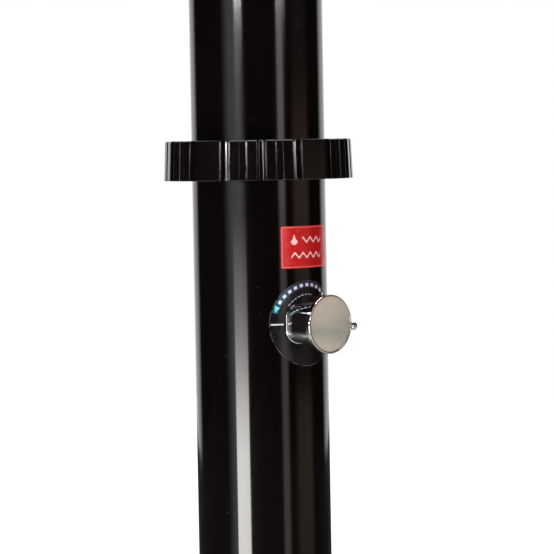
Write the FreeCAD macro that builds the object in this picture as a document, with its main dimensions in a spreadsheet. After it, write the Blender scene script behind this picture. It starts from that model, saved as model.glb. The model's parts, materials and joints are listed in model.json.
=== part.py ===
import FreeCAD, Part
import math
import os
import re
import Sketcher

# Outdoor shower post: a two-part dark water tube that the sun warms, a union ring that joins the
# parts, a mixing tap on the front and a tilting rain head. Millimetres, +Z up. The origin is the
# centre of the foot plate's underside and the tap faces -Y.

os.makedirs("parts", exist_ok=True)
doc = FreeCAD.newDocument("shower_post")
Vector = FreeCAD.Vector
Rotation = FreeCAD.Rotation
Placement = FreeCAD.Placement

SIZES = {
    # clearances
    "seat_gap": 0.3,
    "run_gap": 0.06,
    "glue_gap": 0.02,
    # how far inside the wall a piece starts before its seat is cut to the tube's curve
    "saddle_depth": 20.0,
    # the two tubes
    "tube_radius": 75.0,
    "tube_wall": 3.5,
    "union_height": 1105.0,
    "post_height": 2050.0,
    # foot plate
    "plate_width": 220.0,
    "plate_thick": 14.0,
    "plate_corner": 20.0,
    "bolt_spacing": 180.0,
    "bolt_hole_radius": 5.5,
    "foot_collar_height": 50.0,
    "foot_collar_wall": 7.0,
    "foot_rib_thick": 6.0,
    "foot_rib_reach": 24.0,
    "foot_rib_toe": 4.0,
    "foot_rib_step": 6.0,
    "foot_screw_radius": 2.4,
    "foot_screw_head_radius": 4.6,
    "foot_screw_head_thick": 2.6,
    "foot_screw_length": 14.0,
    "foot_screw_slot_depth": 1.2,
    "foot_screw_slot_width": 1.0,
    "foot_plug_height": 26.0,
    "foot_plug_wall": 6.0,
    # union
    "nut_height": 44.4,
    "nut_top_radius": 104.8,
    "nut_base_radius": 106.6,
    "nut_edge_round": 2.4,
    "nut_lobes": 16,
    "nut_valley_floor": 97.0,
    "nut_valley_floor_width": 5.4,
    "nut_valley_mouth_width": 9.6,
    "nut_first_valley": 3.85,
    "nut_lip_thick": 8.0,
    "nut_lip_radius": 76.2,
    "nut_thread_gap": 0.4,
    "thread_radius": 92.0,
    "land_height": 23.2,
    "land_drop": 19.0,
    "flange_thick": 8.0,
    "flange_radius": 91.5,
    "slip_thick": 2.0,
    "slip_inner_radius": 77.0,
    "slip_outer_radius": 90.0,
    "spigot_wall": 5.0,
    "spigot_length": 45.0,
    "ring_section": 3.9,
    "ring_radius": 81.0,
    # mixing tap, measured outwards from the post's axis
    "tap_drop": 182.0,
    "sleeve_half_width": 27.5,
    "sleeve_half_height": 21.5,
    "sleeve_corner": 14.0,
    "sleeve_wall": 2.0,
    "sleeve_end": 105.7,
    "web_thick": 2.0,
    "neck_radius": 12.0,
    "neck_end": 94.0,
    "washer_radius": 19.0,
    "washer_face": 80.0,
    "locknut_width": 32.0,
    "locknut_thick": 7.0,
    "ring_nut_radius": 17.0,
    "ring_nut_thick": 3.0,
    "valve_width": 62.0,
    "valve_depth": 34.0,
    "valve_tall": 40.0,
    "valve_face": 62.0,
    "inner_gasket_thick": 2.0,
    "spindle_radius": 6.0,
    "spindle_start": 40.0,
    "disc_radius": 32.8,
    "disc_face": 112.0,
    "disc_thick": 6.0,
    "disc_rim": 2.2,
    "disc_edge": 0.8,
    "face_thick": 1.2,
    "face_bevel": 0.3,
    "hub_radius": 12.0,
    "hub_length": 9.0,
    "lever_radius": 4.7,
    "lever_tip": 41.5,
    "lever_root_bevel": 0.8,
    "lever_tip_round": 2.2,
    "lever_tip_step": 0.7,
    "lever_root": 34.0,
    "lever_stem_radius": 1.7,
    "lever_stem_start": 24.0,
    "lever_angle": 6.0,
    "centre_screw_radius": 2.5,
    "centre_screw_head_radius": 5.0,
    "centre_screw_head_thick": 2.4,
    "centre_screw_length": 14.0,
    "centre_screw_key": 4.0,
    "centre_screw_key_depth": 1.5,
    "centre_screw_tip_room": 2.0,
    # stickers
    "sticker_thick": 0.25,
    "sticker_gap": 0.08,
    "dial_radius": 48.0,
    "label_drop": 97.2,
    "label_height": 47.0,
    "label_arc": 55.8,
    "label_turn": 2.6,
    # pipes inside
    "pipe_radius": 6.35,
    "pipe_wall": 1.2,
    "pipe_offset": 18.0,
    "socket_depth": 12.0,
    "hot_pipe_top": 1960.0,
    "coupling_radius": 9.5,
    "coupling_height": 40.0,
    "tank_pipe_bottom": 120.0,
    "clip_thick": 2.0,
    "clip_height": 10.0,
    "clip_share": 0.35,
    # hose inlet and drain
    "inlet_height": 190.0,
    "nipple_radius": 13.2,
    "nipple_bore": 7.0,
    "nipple_length": 20.0,
    "inlet_collar_radius": 18.0,
    "inlet_collar_thick": 6.0,
    "inlet_tail_radius": 10.0,
    "inlet_locknut_thick": 12.0,
    "back_gasket_thick": 4.0,
    "elbow_radius": 11.5,
    "elbow_drop": 46.0,
    "drain_height": 92.0,
    "drain_radius": 8.0,
    "drain_head_radius": 14.0,
    "drain_head_thick": 7.0,
    "drain_head_step": 1.0,
    "drain_tip": 4.0,
    "drain_slot_length": 18.0,
    "drain_slot_width": 3.0,
    "drain_slot_depth": 3.0,
    # top cap, arm and head
    "cap_overhang": 2.0,
    "cap_height": 12.0,
    "cap_plug": 28.0,
    "cap_bevel": 5.0,
    "arm_drop": 62.0,
    "arm_radius": 11.0,
    "arm_wall": 1.5,
    "arm_rise": 112.0,
    "arm_reach": 330.0,
    "arm_bend": 42.0,
    "arm_bend_share": 0.8,
    "arm_slope": 84.0,
    "arm_end_drop": 60.0,
    "rose_radius": 27.0,
    "rose_thick": 9.0,
    "arm_inner_nut": 10.0,
    "arm_nut_wall": 6.0,
    "arm_end_room": 2.0,
    "riser_block_wall": 3.0,
    "riser_block_room": 1.0,
    "ball_radius": 11.0,
    "ball_neck_radius": 5.0,
    "ball_neck_height": 16.0,
    "ball_shoulder": 3.0,
    "ball_bore": 3.0,
    "ball_plug_length": 14.0,
    "seat_thick": 1.5,
    "seat_low_angle": -62.0,
    "seat_high_angle": -18.0,
    "socket_radius": 16.0,
    "socket_lip": 6.0,
    "socket_floor": 6.0,
    "collar_radius": 20.0,
    "collar_bore": 9.6,
    "collar_skirt": 6.0,
    "collar_lid": 2.0,
    "collar_bevel": 1.5,
    "head_radius": 80.0,
    "head_drop": 36.0,
    "head_wall": 2.5,
    "head_rim": 9.0,
    "head_shoulder": 20.0,
    "head_shoulder_rise": 5.0,
    "plate_inset": 3.0,
    "spray_plate_thick": 2.5,
    "nozzle_radius": 1.8,
    "nozzle_length": 4.5,
    "nozzle_ring_step": 14.0,
    "nozzle_rings": 4,
    "nozzles_per_ring": 6,
}

sheet = doc.addObject("Spreadsheet::Sheet", "sheet")
for row, (alias, number) in enumerate(SIZES.items(), start=1):
    sheet.set(f"A{row}", alias)
    sheet.set(f"B{row}", str(number))
    sheet.setAlias(f"B{row}", alias)
doc.recompute()


def bound(text):
    """Turn words that are cell names into references to the sheet."""
    return re.sub(r"[a-z][a-z_]*[a-z]", lambda found: word_reference(found.group()), text)


def word_reference(word):
    """Reference to a cell, or the word itself where it is a function such as tan."""
    return f"sheet.{word}" if word in SIZES else word


def size(alias):
    """Number that a cell holds."""
    return float(sheet.get(alias))


# Places that several pieces share, written once, as text over the sheet's names.
TUBE_BORE = "(tube_radius - tube_wall)"
LAND_BASE = "(union_height - land_drop)"
LAND_TOP = "(union_height - land_drop + land_height)"
FLANGE_TOP = "(union_height - land_drop + land_height + flange_thick)"
NUT_BASE = "(union_height - nut_height / 2)"
NUT_TOP = "(union_height + nut_height / 2)"
LIP_BASE = "(union_height + nut_height / 2 - nut_lip_thick)"
TAP_HEIGHT = "(union_height - tap_drop)"
PIPE_Y = "(valve_depth / 2 - valve_face)"
VALVE_TOP = "(union_height - tap_drop + valve_tall / 2)"
VALVE_BASE = "(union_height - tap_drop - valve_tall / 2)"
LOCKNUT_END = "(washer_face + locknut_thick)"
WEB_END = "(washer_face + locknut_thick + web_thick)"
DISC_BACK = "(disc_face - disc_thick)"
CORNER_STEPS = 4
ARM_HEIGHT = "(post_height - arm_drop)"
BALL_HEIGHT = "(post_height - arm_drop + arm_rise - arm_end_drop - ball_neck_height)"

pieces = []


def keep(piece, label):
    """Name a finished piece, which is written to its own file."""
    piece.Label = label
    pieces.append(piece)
    return piece


def bind(thing, **expressions):
    """Bind properties of an object to the sheet."""
    for name, text in expressions.items():
        thing.setExpression(name.replace("__", "."), bound(text))


def new_body(label, x="0", y="0", z="0"):
    """Body that stands upright with its origin at a point."""
    body = doc.addObject("PartDesign::Body", label)
    bind(body, Placement__Base__x=x, Placement__Base__y=y, Placement__Base__z=z)
    return keep(body, label)


def tap_body(label, z=TAP_HEIGHT):
    """Body whose own Z points out of the front, measured from the post's axis."""
    body = new_body(label)
    body.Placement = Placement(Vector(), Rotation(Vector(1, 0, 0), 90))
    bind(body, Placement__Base__z=z)
    return body


def back_body(label, z):
    """Body whose own Z points out of the back, measured from the post's axis."""
    body = new_body(label)
    body.Placement = Placement(Vector(), Rotation(Vector(1, 0, 0), -90))
    bind(body, Placement__Base__z=z)
    return body


def new_sketch(body, plane, offset=None):
    """Sketch on one of the body's own planes, lifted off it by a bound offset."""
    sketch = body.newObject("Sketcher::SketchObject", "sketch")
    origin_plane = [face for face in body.Origin.OriginFeatures if face.Role == plane][0]
    sketch.AttachmentSupport = (origin_plane, "")
    sketch.MapMode = "FlatFace"
    if offset:
        sketch.setExpression("AttachmentOffset.Base.z", bound(offset))
    return sketch


def place_point(sketch, edge, end, x, y):
    """Fix one point of a sketch at bound distances from its origin."""
    for kind, text in (("DistanceX", x), ("DistanceY", y)):
        spot = sketch.getPoint(edge, end)
        start = spot.x if kind == "DistanceX" else spot.y
        number = sketch.addConstraint(Sketcher.Constraint(kind, -1, 1, edge, end, start))
        sketch.setExpression(f"Constraints[{number}]", bound(text))


def draw_outline(sketch, points):
    """Closed outline of straight edges through bound points."""
    count = len(points)
    first = sketch.GeometryCount
    spots = [Vector(5 * math.cos(2 * math.pi * i / count) + 40,
                    5 * math.sin(2 * math.pi * i / count) + 40, 0) for i in range(count)]
    for i in range(count):
        sketch.addGeometry(Part.LineSegment(spots[i], spots[(i + 1) % count]))
    for i in range(count):
        after = first + (i + 1) % count
        sketch.addConstraint(Sketcher.Constraint("Coincident", first + i, 2, after, 1))
    for i, (x, y) in enumerate(points):
        place_point(sketch, first + i, 1, x, y)
    return sketch


def draw_circle(sketch, radius, x="0", y="0"):
    """Circle with a bound radius and centre."""
    edge = sketch.addGeometry(Part.Circle(Vector(1, 1, 0), Vector(0, 0, 1), 1))
    place_point(sketch, edge, 3, x, y)
    number = sketch.addConstraint(Sketcher.Constraint("Radius", edge, 1))
    sketch.setExpression(f"Constraints[{number}]", bound(radius))
    return sketch


def turned(body, points, plane="XZ_Plane"):
    """Solid of revolution about the body's own Z, from an outline of (radius, height)."""
    sketch = draw_outline(new_sketch(body, plane), points)
    solid = body.newObject("PartDesign::Revolution", "turned")
    solid.Profile = sketch
    solid.ReferenceAxis = (sketch, ["V_Axis"])
    solid.Angle = 360
    return solid


def groove(body, points):
    """Turned cut about the body's own Z."""
    sketch = draw_outline(new_sketch(body, "XZ_Plane"), points)
    cut = body.newObject("PartDesign::Groove", "groove")
    cut.Profile = sketch
    cut.ReferenceAxis = (sketch, ["V_Axis"])
    cut.Angle = 360
    return cut


def pad(body, sketch, length, both_sides=False):
    """Straight boss from a sketch."""
    solid = body.newObject("PartDesign::Pad", "pad")
    solid.Profile = sketch
    solid.SideType = "Symmetric" if both_sides else "One side"
    bind(solid, Length=length)
    return solid


def pocket(body, sketch, length, both_sides=False, reverse=False):
    """Straight cut from a sketch, which has to remove something."""
    doc.recompute()
    before = body.Shape.Volume
    cut = body.newObject("PartDesign::Pocket", "pocket")
    cut.Profile = sketch
    cut.SideType = "Symmetric" if both_sides else "One side"
    cut.Reversed = reverse
    bind(cut, Length=length)
    doc.recompute()
    if body.Shape.Volume >= before:
        raise RuntimeError(f"a pocket of {body.Label} cuts nothing")
    return cut


def round_pattern(body, feature, count, angle=360):
    """Repeat a feature about the body's own Z."""
    pattern = body.newObject("PartDesign::PolarPattern", "pattern")
    pattern.Originals = [feature]
    axis = [line for line in body.Origin.OriginFeatures if line.Role == "Z_Axis"][0]
    pattern.Axis = (axis, [""])
    pattern.Angle = angle
    if isinstance(count, str):
        bind(pattern, Occurrences=count)
    else:
        pattern.Occurrences = count
    body.Tip = pattern
    return pattern


def bore(body, radius, start, end, x="0", y="0"):
    """Straight round hole along the body's own Z between two heights."""
    sketch = draw_circle(new_sketch(body, "XY_Plane", start), radius, x, y)
    return pocket(body, sketch, f"{end} - {start}", reverse=True)


def side_hole(body, radius, height, reach, front=True, x="0"):
    """Round hole through one wall of an upright body, out of its front or its back."""
    sketch = draw_circle(new_sketch(body, "XZ_Plane"), radius, x, height)
    return pocket(body, sketch, reach, reverse=front)


def pipe(label, bottom, top, x, y):
    """Straight upright pipe between two heights."""
    body = new_body(label, x=x, y=y)
    sketch = draw_circle(new_sketch(body, "XY_Plane", bottom), "pipe_radius")
    draw_circle(sketch, "pipe_radius - pipe_wall")
    pad(body, sketch, f"{top} - {bottom}")
    return body


def bent_tube(points, bend, outer, inner):
    """Tube along straight runs that are joined by arcs of one radius."""
    edges = []
    start = points[0]
    for before, corner, after in zip(points, points[1:], points[2:]):
        arriving = (corner - before).normalize()
        leaving = (after - corner).normalize()
        turn = arriving.getAngle(leaving)
        back = bend * math.tan(turn / 2)
        arc_start = corner - arriving * back
        arc_end = corner + leaving * back
        inward = (leaving - arriving).normalize()
        middle = corner + inward * (bend / math.cos(turn / 2) - bend)
        edges.append(Part.LineSegment(start, arc_start).toShape())
        edges.append(Part.Arc(arc_start, middle, arc_end).toShape())
        start = arc_end
    edges.append(Part.LineSegment(start, points[-1]).toShape())
    path = Part.Wire(edges)
    direction = points[1] - points[0]
    solids = []
    for radius in (outer, inner):
        ring = Part.Wire([Part.Circle(points[0], direction, radius).toShape()])
        solids.append(path.makePipeShell([ring], True, True))
    return solids[0].cut(solids[1])


def shaped(label, shape, placement=None):
    """Piece whose shape is worked out from the sheet's sizes."""
    piece = doc.addObject("Part::Feature", label)
    piece.Shape = shape
    if placement:
        piece.Placement = placement
    return keep(piece, label)


# ---- foot ----

def foot_plate():
    """Square plate with a socket collar for the tube, ribs and four anchor holes."""
    body = new_body("foot_plate")
    half = "plate_width / 2"
    square = [(f"-{half}", f"-{half}"), (half, f"-{half}"), (half, half), (f"-{half}", half)]
    slab = pad(body, draw_outline(new_sketch(body, "XY_Plane"), square), "plate_thick")
    doc.recompute()
    corners = [f"Edge{i}" for i, edge in enumerate(slab.Shape.Edges, start=1)
               if abs(edge.BoundBox.ZLength - size("plate_thick")) < 1e-6]
    rounds = body.newObject("PartDesign::Fillet", "rounds")
    rounds.Base = (slab, corners)
    bind(rounds, Radius="plate_corner")
    ring = draw_circle(new_sketch(body, "XY_Plane"), "tube_radius + seat_gap + foot_collar_wall")
    draw_circle(ring, "tube_radius + seat_gap")
    pad(body, ring, "plate_thick + foot_collar_height")
    rib = new_sketch(body, "XZ_Plane")
    rib.AttachmentOffset = Placement(Vector(), Rotation(Vector(0, 1, 0), 45))
    inner = "tube_radius + seat_gap + foot_collar_wall / 2"
    outer = "tube_radius + seat_gap + foot_collar_wall + foot_rib_reach"
    draw_outline(rib, [(inner, "plate_thick / 2"), (outer, "plate_thick / 2"),
                       (outer, "plate_thick + foot_rib_toe"),
                       (inner, "plate_thick + foot_collar_height - foot_rib_step")])
    web = pad(body, rib, "foot_rib_thick", both_sides=True)
    round_pattern(body, web, 4)
    anchor = draw_circle(new_sketch(body, "XY_Plane"), "bolt_hole_radius",
                         "bolt_spacing / 2", "bolt_spacing / 2")
    round_pattern(body, pocket(body, anchor, "plate_thick", reverse=True), 4)
    screw_hole = side_hole(body, "foot_screw_radius + run_gap",
                           "plate_thick + foot_collar_height / 2", "plate_width / 2")
    round_pattern(body, screw_hole, 4)


def foot_screws():
    """Four screws that hold the tube in the collar, as one group."""
    shank = size("foot_screw_radius")
    head = size("foot_screw_head_radius")
    surface = size("tube_radius") + size("seat_gap") + size("foot_collar_wall")
    length = size("foot_screw_length")
    screw = Part.makeCylinder(shank, length, Vector(surface - length, 0, 0), Vector(1, 0, 0))
    cap = Part.makeCylinder(head, size("foot_screw_head_thick"), Vector(surface, 0, 0), Vector(1, 0, 0))
    face = surface + size("foot_screw_head_thick")
    deep = size("foot_screw_slot_depth")
    wide = size("foot_screw_slot_width")
    slot = Part.makeBox(deep, 2 * head, wide, Vector(face - deep, -head, -wide / 2))
    cross = Part.makeBox(deep, wide, 2 * head, Vector(face - deep, -wide / 2, -head))
    one = screw.fuse(cap).removeSplitter().cut(slot).cut(cross)
    height = size("plate_thick") + size("foot_collar_height") / 2
    copies = []
    for quarter in range(4):
        copy = one.copy()
        copy.Placement = Placement(Vector(0, 0, height), Rotation(Vector(0, 0, 1), 90 * quarter))
        copies.append(copy)
    shaped("foot_screws", Part.makeCompound(copies))


def bottom_plug():
    """Cup glued into the lower tube's end, which closes the tank."""
    body = new_body("bottom_plug", z="plate_thick")
    rim = f"{TUBE_BORE} - glue_gap"
    turned(body, [("0", "0"), (rim, "0"), (rim, "foot_plug_height"),
                  (f"{rim} - foot_plug_wall", "foot_plug_height"),
                  (f"{rim} - foot_plug_wall", "foot_plug_wall"), ("0", "foot_plug_wall")])
    screw_hole = side_hole(body, "foot_screw_radius + run_gap", "foot_collar_height / 2", "plate_width / 2")
    round_pattern(body, screw_hole, 4)


# ---- tubes and union ----

def lower_tube():
    """Lower tank tube, with holes for the tap, the hose inlet, the drain and the foot's screws."""
    body = new_body("lower_tube")
    ring = draw_circle(new_sketch(body, "XY_Plane", "plate_thick"), "tube_radius")
    draw_circle(ring, TUBE_BORE)
    pad(body, ring, f"{LAND_BASE} - plate_thick")
    reach = "tube_radius + 1"
    side_hole(body, "neck_radius + run_gap", TAP_HEIGHT, reach)
    side_hole(body, "inlet_tail_radius + run_gap", "inlet_height", reach, front=False)
    side_hole(body, "drain_radius + run_gap", "drain_height", reach, front=False)
    hole = side_hole(body, "foot_screw_radius + run_gap", "plate_thick + foot_collar_height / 2", reach)
    round_pattern(body, hole, 4)


def lower_collar():
    """Union half glued into the lower tube, with the thread land outside and the ring's groove on top."""
    body = new_body("lower_collar")
    spigot = f"{TUBE_BORE} - glue_gap"
    throat = f"{TUBE_BORE} - spigot_wall"
    turned(body, [(throat, f"{LAND_BASE} - spigot_length"), (spigot, f"{LAND_BASE} - spigot_length"),
                  (spigot, LAND_BASE), ("thread_radius", LAND_BASE), ("thread_radius", LAND_TOP),
                  (throat, LAND_TOP)])
    inner = "ring_radius - ring_section / 2"
    outer = "ring_radius + ring_section / 2"
    groove(body, [(inner, LAND_TOP), (inner, f"{LAND_TOP} - ring_section"),
                  (outer, f"{LAND_TOP} - ring_section"), (outer, LAND_TOP)])


def union_ring():
    """Rubber ring that seals the two union halves."""
    torus = keep(doc.addObject("Part::Torus", "union_ring"), "union_ring")
    bind(torus, Radius1="ring_radius", Radius2="ring_section / 2",
         Placement__Base__z=f"{LAND_TOP} - ring_section / 2")


def upper_collar():
    """Union half glued into the upper tube, with the flange that the nut pulls down."""
    body = new_body("upper_collar")
    spigot = f"{TUBE_BORE} - glue_gap"
    throat = f"{TUBE_BORE} - spigot_wall"
    turned(body, [(throat, LAND_TOP), ("flange_radius", LAND_TOP), ("flange_radius", FLANGE_TOP),
                  (spigot, FLANGE_TOP), (spigot, f"{FLANGE_TOP} + spigot_length"),
                  (throat, f"{FLANGE_TOP} + spigot_length")])


def slip_ring():
    """Thin ring under the nut's lip, which lets the nut turn on the flange."""
    body = new_body("slip_ring")
    turned(body, [("slip_inner_radius", FLANGE_TOP), ("slip_outer_radius", FLANGE_TOP),
                  ("slip_outer_radius", f"{FLANGE_TOP} + slip_thick"),
                  ("slip_inner_radius", f"{FLANGE_TOP} + slip_thick")])


def union_nut():
    """Lobed ring that screws down by hand and draws the two halves together."""
    body = new_body("union_nut")
    bore_radius = "thread_radius + nut_thread_gap"
    edge = "nut_edge_round"
    turned(body, [(bore_radius, NUT_BASE), (f"nut_base_radius - {edge}", NUT_BASE),
                  ("nut_base_radius", f"{NUT_BASE} + {edge}"),
                  ("nut_top_radius", f"{NUT_TOP} - {edge}"),
                  (f"nut_top_radius - {edge}", NUT_TOP), ("nut_lip_radius", NUT_TOP),
                  ("nut_lip_radius", LIP_BASE), (bore_radius, LIP_BASE)])
    floor = "nut_valley_floor_width / 2"
    mouth = "nut_valley_mouth_width / 2"
    valley = new_sketch(body, "XY_Plane")
    valley.AttachmentOffset = Placement(Vector(), Rotation(Vector(0, 0, 1), size("nut_first_valley")))
    valley.setExpression("AttachmentOffset.Base.z", bound(NUT_BASE))
    draw_outline(valley, [("nut_valley_floor", f"-{floor}"), ("nut_base_radius + seat_gap", f"-{mouth}"),
                          ("nut_base_radius + seat_gap", mouth), ("nut_valley_floor", floor)])
    scallop = pocket(body, valley, "nut_height", reverse=True)
    round_pattern(body, scallop, "nut_lobes")


def upper_tube():
    """Upper tank tube, with a hole for the arm near its top."""
    body = new_body("upper_tube")
    ring = draw_circle(new_sketch(body, "XY_Plane", FLANGE_TOP), "tube_radius")
    draw_circle(ring, TUBE_BORE)
    pad(body, ring, f"post_height - {FLANGE_TOP}")
    side_hole(body, "arm_radius + run_gap", ARM_HEIGHT, "tube_radius + 1")


def top_cap():
    """Lid glued into the top of the tank."""
    body = new_body("top_cap", z="post_height")
    spigot = f"{TUBE_BORE} - glue_gap"
    rim = "tube_radius + cap_overhang"
    turned(body, [("0", "0"), (f"{spigot} - spigot_wall", "0"), (f"{spigot} - spigot_wall", "-cap_plug"),
                  (spigot, "-cap_plug"), (spigot, "0"), (rim, "0"), (rim, "cap_height - cap_bevel"),
                  (f"{rim} - cap_bevel", "cap_height"), ("0", "cap_height")])


# ---- stickers on the lower tube ----

def heat_label():
    """Bare warning-colour label, wrapped on the tube above the tap and a little to its right."""
    body = new_body("heat_label")
    body.Placement = Placement(body.Placement.Base, Rotation(Vector(0, 0, 1), size("label_turn")))
    middle = "union_height - label_drop"
    inner = "tube_radius + sticker_gap"
    sketch = new_sketch(body, "YZ_Plane")
    draw_outline(sketch, [(f"-({inner})", f"{middle} - label_height / 2"),
                          (f"-({inner} + sticker_thick)", f"{middle} - label_height / 2"),
                          (f"-({inner} + sticker_thick)", f"{middle} + label_height / 2"),
                          (f"-({inner})", f"{middle} + label_height / 2")])
    solid = body.newObject("PartDesign::Revolution", "wrapped")
    solid.Profile = sketch
    solid.ReferenceAxis = (sketch, ["V_Axis"])
    solid.Midplane = True
    bind(solid, Angle="label_arc")


def dial_sticker():
    """Round scale around the tap, wrapped on the tube."""
    body = tap_body("dial_sticker")
    disc = draw_circle(new_sketch(body, "XY_Plane"), "dial_radius")
    sleeve_outline(disc, "seat_gap")
    pad(body, disc, "tube_radius + 2")
    inside = draw_circle(new_sketch(body, "XZ_Plane"), "tube_radius + sticker_gap")
    pocket(body, inside, "4 * dial_radius", both_sides=True)
    outside = draw_circle(new_sketch(body, "XZ_Plane"), "tube_radius + sticker_gap + sticker_thick")
    draw_circle(outside, "2 * tube_radius")
    pocket(body, outside, "4 * dial_radius", both_sides=True)


# ---- mixing tap ----

def sleeve_outline(sketch, grow):
    """Rounded oblong of the sleeve's outside, moved out by a distance; each corner is walked in steps."""
    across = "(sleeve_half_width - sleeve_corner)"
    up = "(sleeve_half_height - sleeve_corner)"
    reach = f"(sleeve_corner + {grow})"
    corners = [("", "", 0), ("-", "", 90), ("-", "-", 180), ("", "-", 270)]
    points = []
    for side, level, start in corners:
        for step in range(CORNER_STEPS + 1):
            angle = start + 90 * step / CORNER_STEPS
            points.append((f"{side}{across} + {reach} * cos({angle})", f"{level}{up} + {reach} * sin({angle})"))
    return draw_outline(sketch, points)


def saddle_cut(body, radius):
    """Hollow the inner end of a tap piece to sit on the outside of the tube."""
    sketch = draw_circle(new_sketch(body, "XZ_Plane"), radius)
    pocket(body, sketch, "4 * tube_radius", both_sides=True)


def valve_body():
    """Brass mixing valve inside the tank, with its threaded neck through the wall."""
    body = tap_body("valve_body")
    half = "valve_width / 2"
    tall = "valve_tall / 2"
    block = draw_outline(new_sketch(body, "XY_Plane", "valve_face - valve_depth"),
                         [(f"-{half}", f"-{tall}"), (half, f"-{tall}"), (half, tall), (f"-{half}", tall)])
    pad(body, block, "valve_depth")
    neck = draw_circle(new_sketch(body, "XY_Plane", "valve_face - valve_depth / 2"), "neck_radius")
    pad(body, neck, "neck_end - valve_face + valve_depth / 2")
    bore(body, "spindle_radius + run_gap", "(spindle_start - 1)", "(neck_end + 1)")
    for side in ("-pipe_offset", "pipe_offset"):
        for top, reverse in (("valve_tall / 2", False), ("-valve_tall / 2", True)):
            port = draw_circle(new_sketch(body, "XZ_Plane", f"-({top})"), "pipe_radius + glue_gap",
                               side, "valve_face - valve_depth / 2")
            pocket(body, port, "socket_depth", reverse=not reverse)


def outer_washer():
    """Saddle washer between the tube and the lock nut."""
    body = tap_body("valve_outer_washer")
    ring = draw_circle(new_sketch(body, "XY_Plane", "tube_radius - saddle_depth"), "washer_radius")
    draw_circle(ring, "neck_radius + run_gap")
    pad(body, ring, "washer_face - tube_radius + saddle_depth")
    saddle_cut(body, "tube_radius + glue_gap")


def inner_gasket():
    """Rubber gasket between the valve and the tube's inside."""
    body = tap_body("valve_inner_gasket")
    ring = draw_circle(new_sketch(body, "XY_Plane", "valve_face"), "washer_radius")
    draw_circle(ring, "neck_radius + run_gap")
    pad(body, ring, "tube_radius - valve_face")
    outside = draw_circle(new_sketch(body, "XZ_Plane"), f"{TUBE_BORE} - glue_gap")
    draw_circle(outside, "2 * tube_radius")
    pocket(body, outside, "4 * tube_radius", both_sides=True)


def hexagon(sketch, width):
    """Hexagon across the flats of a nut, centred on the sketch's origin."""
    corner = f"({width}) / sqrt(3)"
    flat = f"({width}) / 2"
    return draw_outline(sketch, [(corner, "0"), (f"{corner} / 2", flat), (f"-{corner} / 2", flat),
                                 (f"-{corner}", "0"), (f"-{corner} / 2", f"-{flat}"),
                                 (f"{corner} / 2", f"-{flat}")])


def valve_locknut():
    """Hexagon nut that clamps the valve to the wall."""
    body = tap_body("valve_locknut")
    outline = hexagon(new_sketch(body, "XY_Plane", "washer_face"), "locknut_width")
    draw_circle(outline, "neck_radius + run_gap")
    pad(body, outline, "locknut_thick")


def tap_sleeve():
    """Fixed chrome sleeve, cut to the tube's curve, held by its inner web."""
    body = tap_body("tap_sleeve")
    shell = sleeve_outline(new_sketch(body, "XY_Plane", "tube_radius - saddle_depth"), "0")
    sleeve_outline(shell, "-sleeve_wall")
    pad(body, shell, "sleeve_end - tube_radius + saddle_depth")
    web = sleeve_outline(new_sketch(body, "XY_Plane", LOCKNUT_END), "-sleeve_wall / 2")
    draw_circle(web, "neck_radius + seat_gap")
    pad(body, web, "web_thick")
    saddle_cut(body, "tube_radius + seat_gap")


def sleeve_ring_nut():
    """Round nut that clamps the sleeve's web on the lock nut."""
    body = tap_body("sleeve_ring_nut")
    ring = draw_circle(new_sketch(body, "XY_Plane", WEB_END), "ring_nut_radius")
    draw_circle(ring, "neck_radius + run_gap")
    pad(body, ring, "ring_nut_thick")


def valve_spindle():
    """Steel spindle that the knob turns inside the valve."""
    body = tap_body("valve_spindle")
    turned(body, [("0", "spindle_start"), ("spindle_radius", "spindle_start"),
                  ("spindle_radius", DISC_BACK), ("0", DISC_BACK)])
    bore(body, "centre_screw_radius", f"({DISC_BACK} - centre_screw_length)", f"({DISC_BACK} + 1)")


def knob_disc():
    """Round handle with a hub on the spindle and a recess for its face, turned to the lever's angle."""
    body = tap_body("knob_disc")
    front = Rotation(Vector(1, 0, 0), 90) * Rotation(Vector(0, 0, 1), -size("lever_angle"))
    body.Placement = Placement(body.Placement.Base, front)
    hub_back = f"({DISC_BACK} - hub_length)"
    edge = "disc_edge"
    recess = "(disc_radius - disc_rim)"
    floor = "(disc_face - face_thick)"
    well = "(disc_face - face_thick - centre_screw_head_thick)"
    turned(body, [("spindle_radius + glue_gap", hub_back), ("hub_radius", hub_back),
                  ("hub_radius", DISC_BACK), (f"disc_radius - {edge}", DISC_BACK),
                  ("disc_radius", f"{DISC_BACK} + {edge}"), ("disc_radius", f"disc_face - {edge}"),
                  (f"disc_radius - {edge}", "disc_face"), (recess, "disc_face"), (recess, floor),
                  ("centre_screw_head_radius + run_gap", floor),
                  ("centre_screw_head_radius + run_gap", well),
                  ("centre_screw_radius + run_gap", well),
                  ("centre_screw_radius + run_gap", f"{DISC_BACK} + glue_gap"),
                  ("spindle_radius + glue_gap", f"{DISC_BACK} + glue_gap")])
    socket = new_sketch(body, "YZ_Plane")
    draw_circle(socket, "lever_stem_radius + glue_gap", "0", "disc_face - disc_thick / 2")
    pocket(body, socket, "disc_radius + 1", reverse=True)


def knob_face():
    """Satin face pressed into the handle."""
    body = tap_body("knob_face")
    rim = "disc_radius - disc_rim - glue_gap"
    back = "(disc_face - face_thick)"
    turned(body, [("0", back), (rim, back), (rim, "disc_face - face_bevel"),
                  (f"{rim} - face_bevel", "disc_face"),
                  ("0", "disc_face")])


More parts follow.
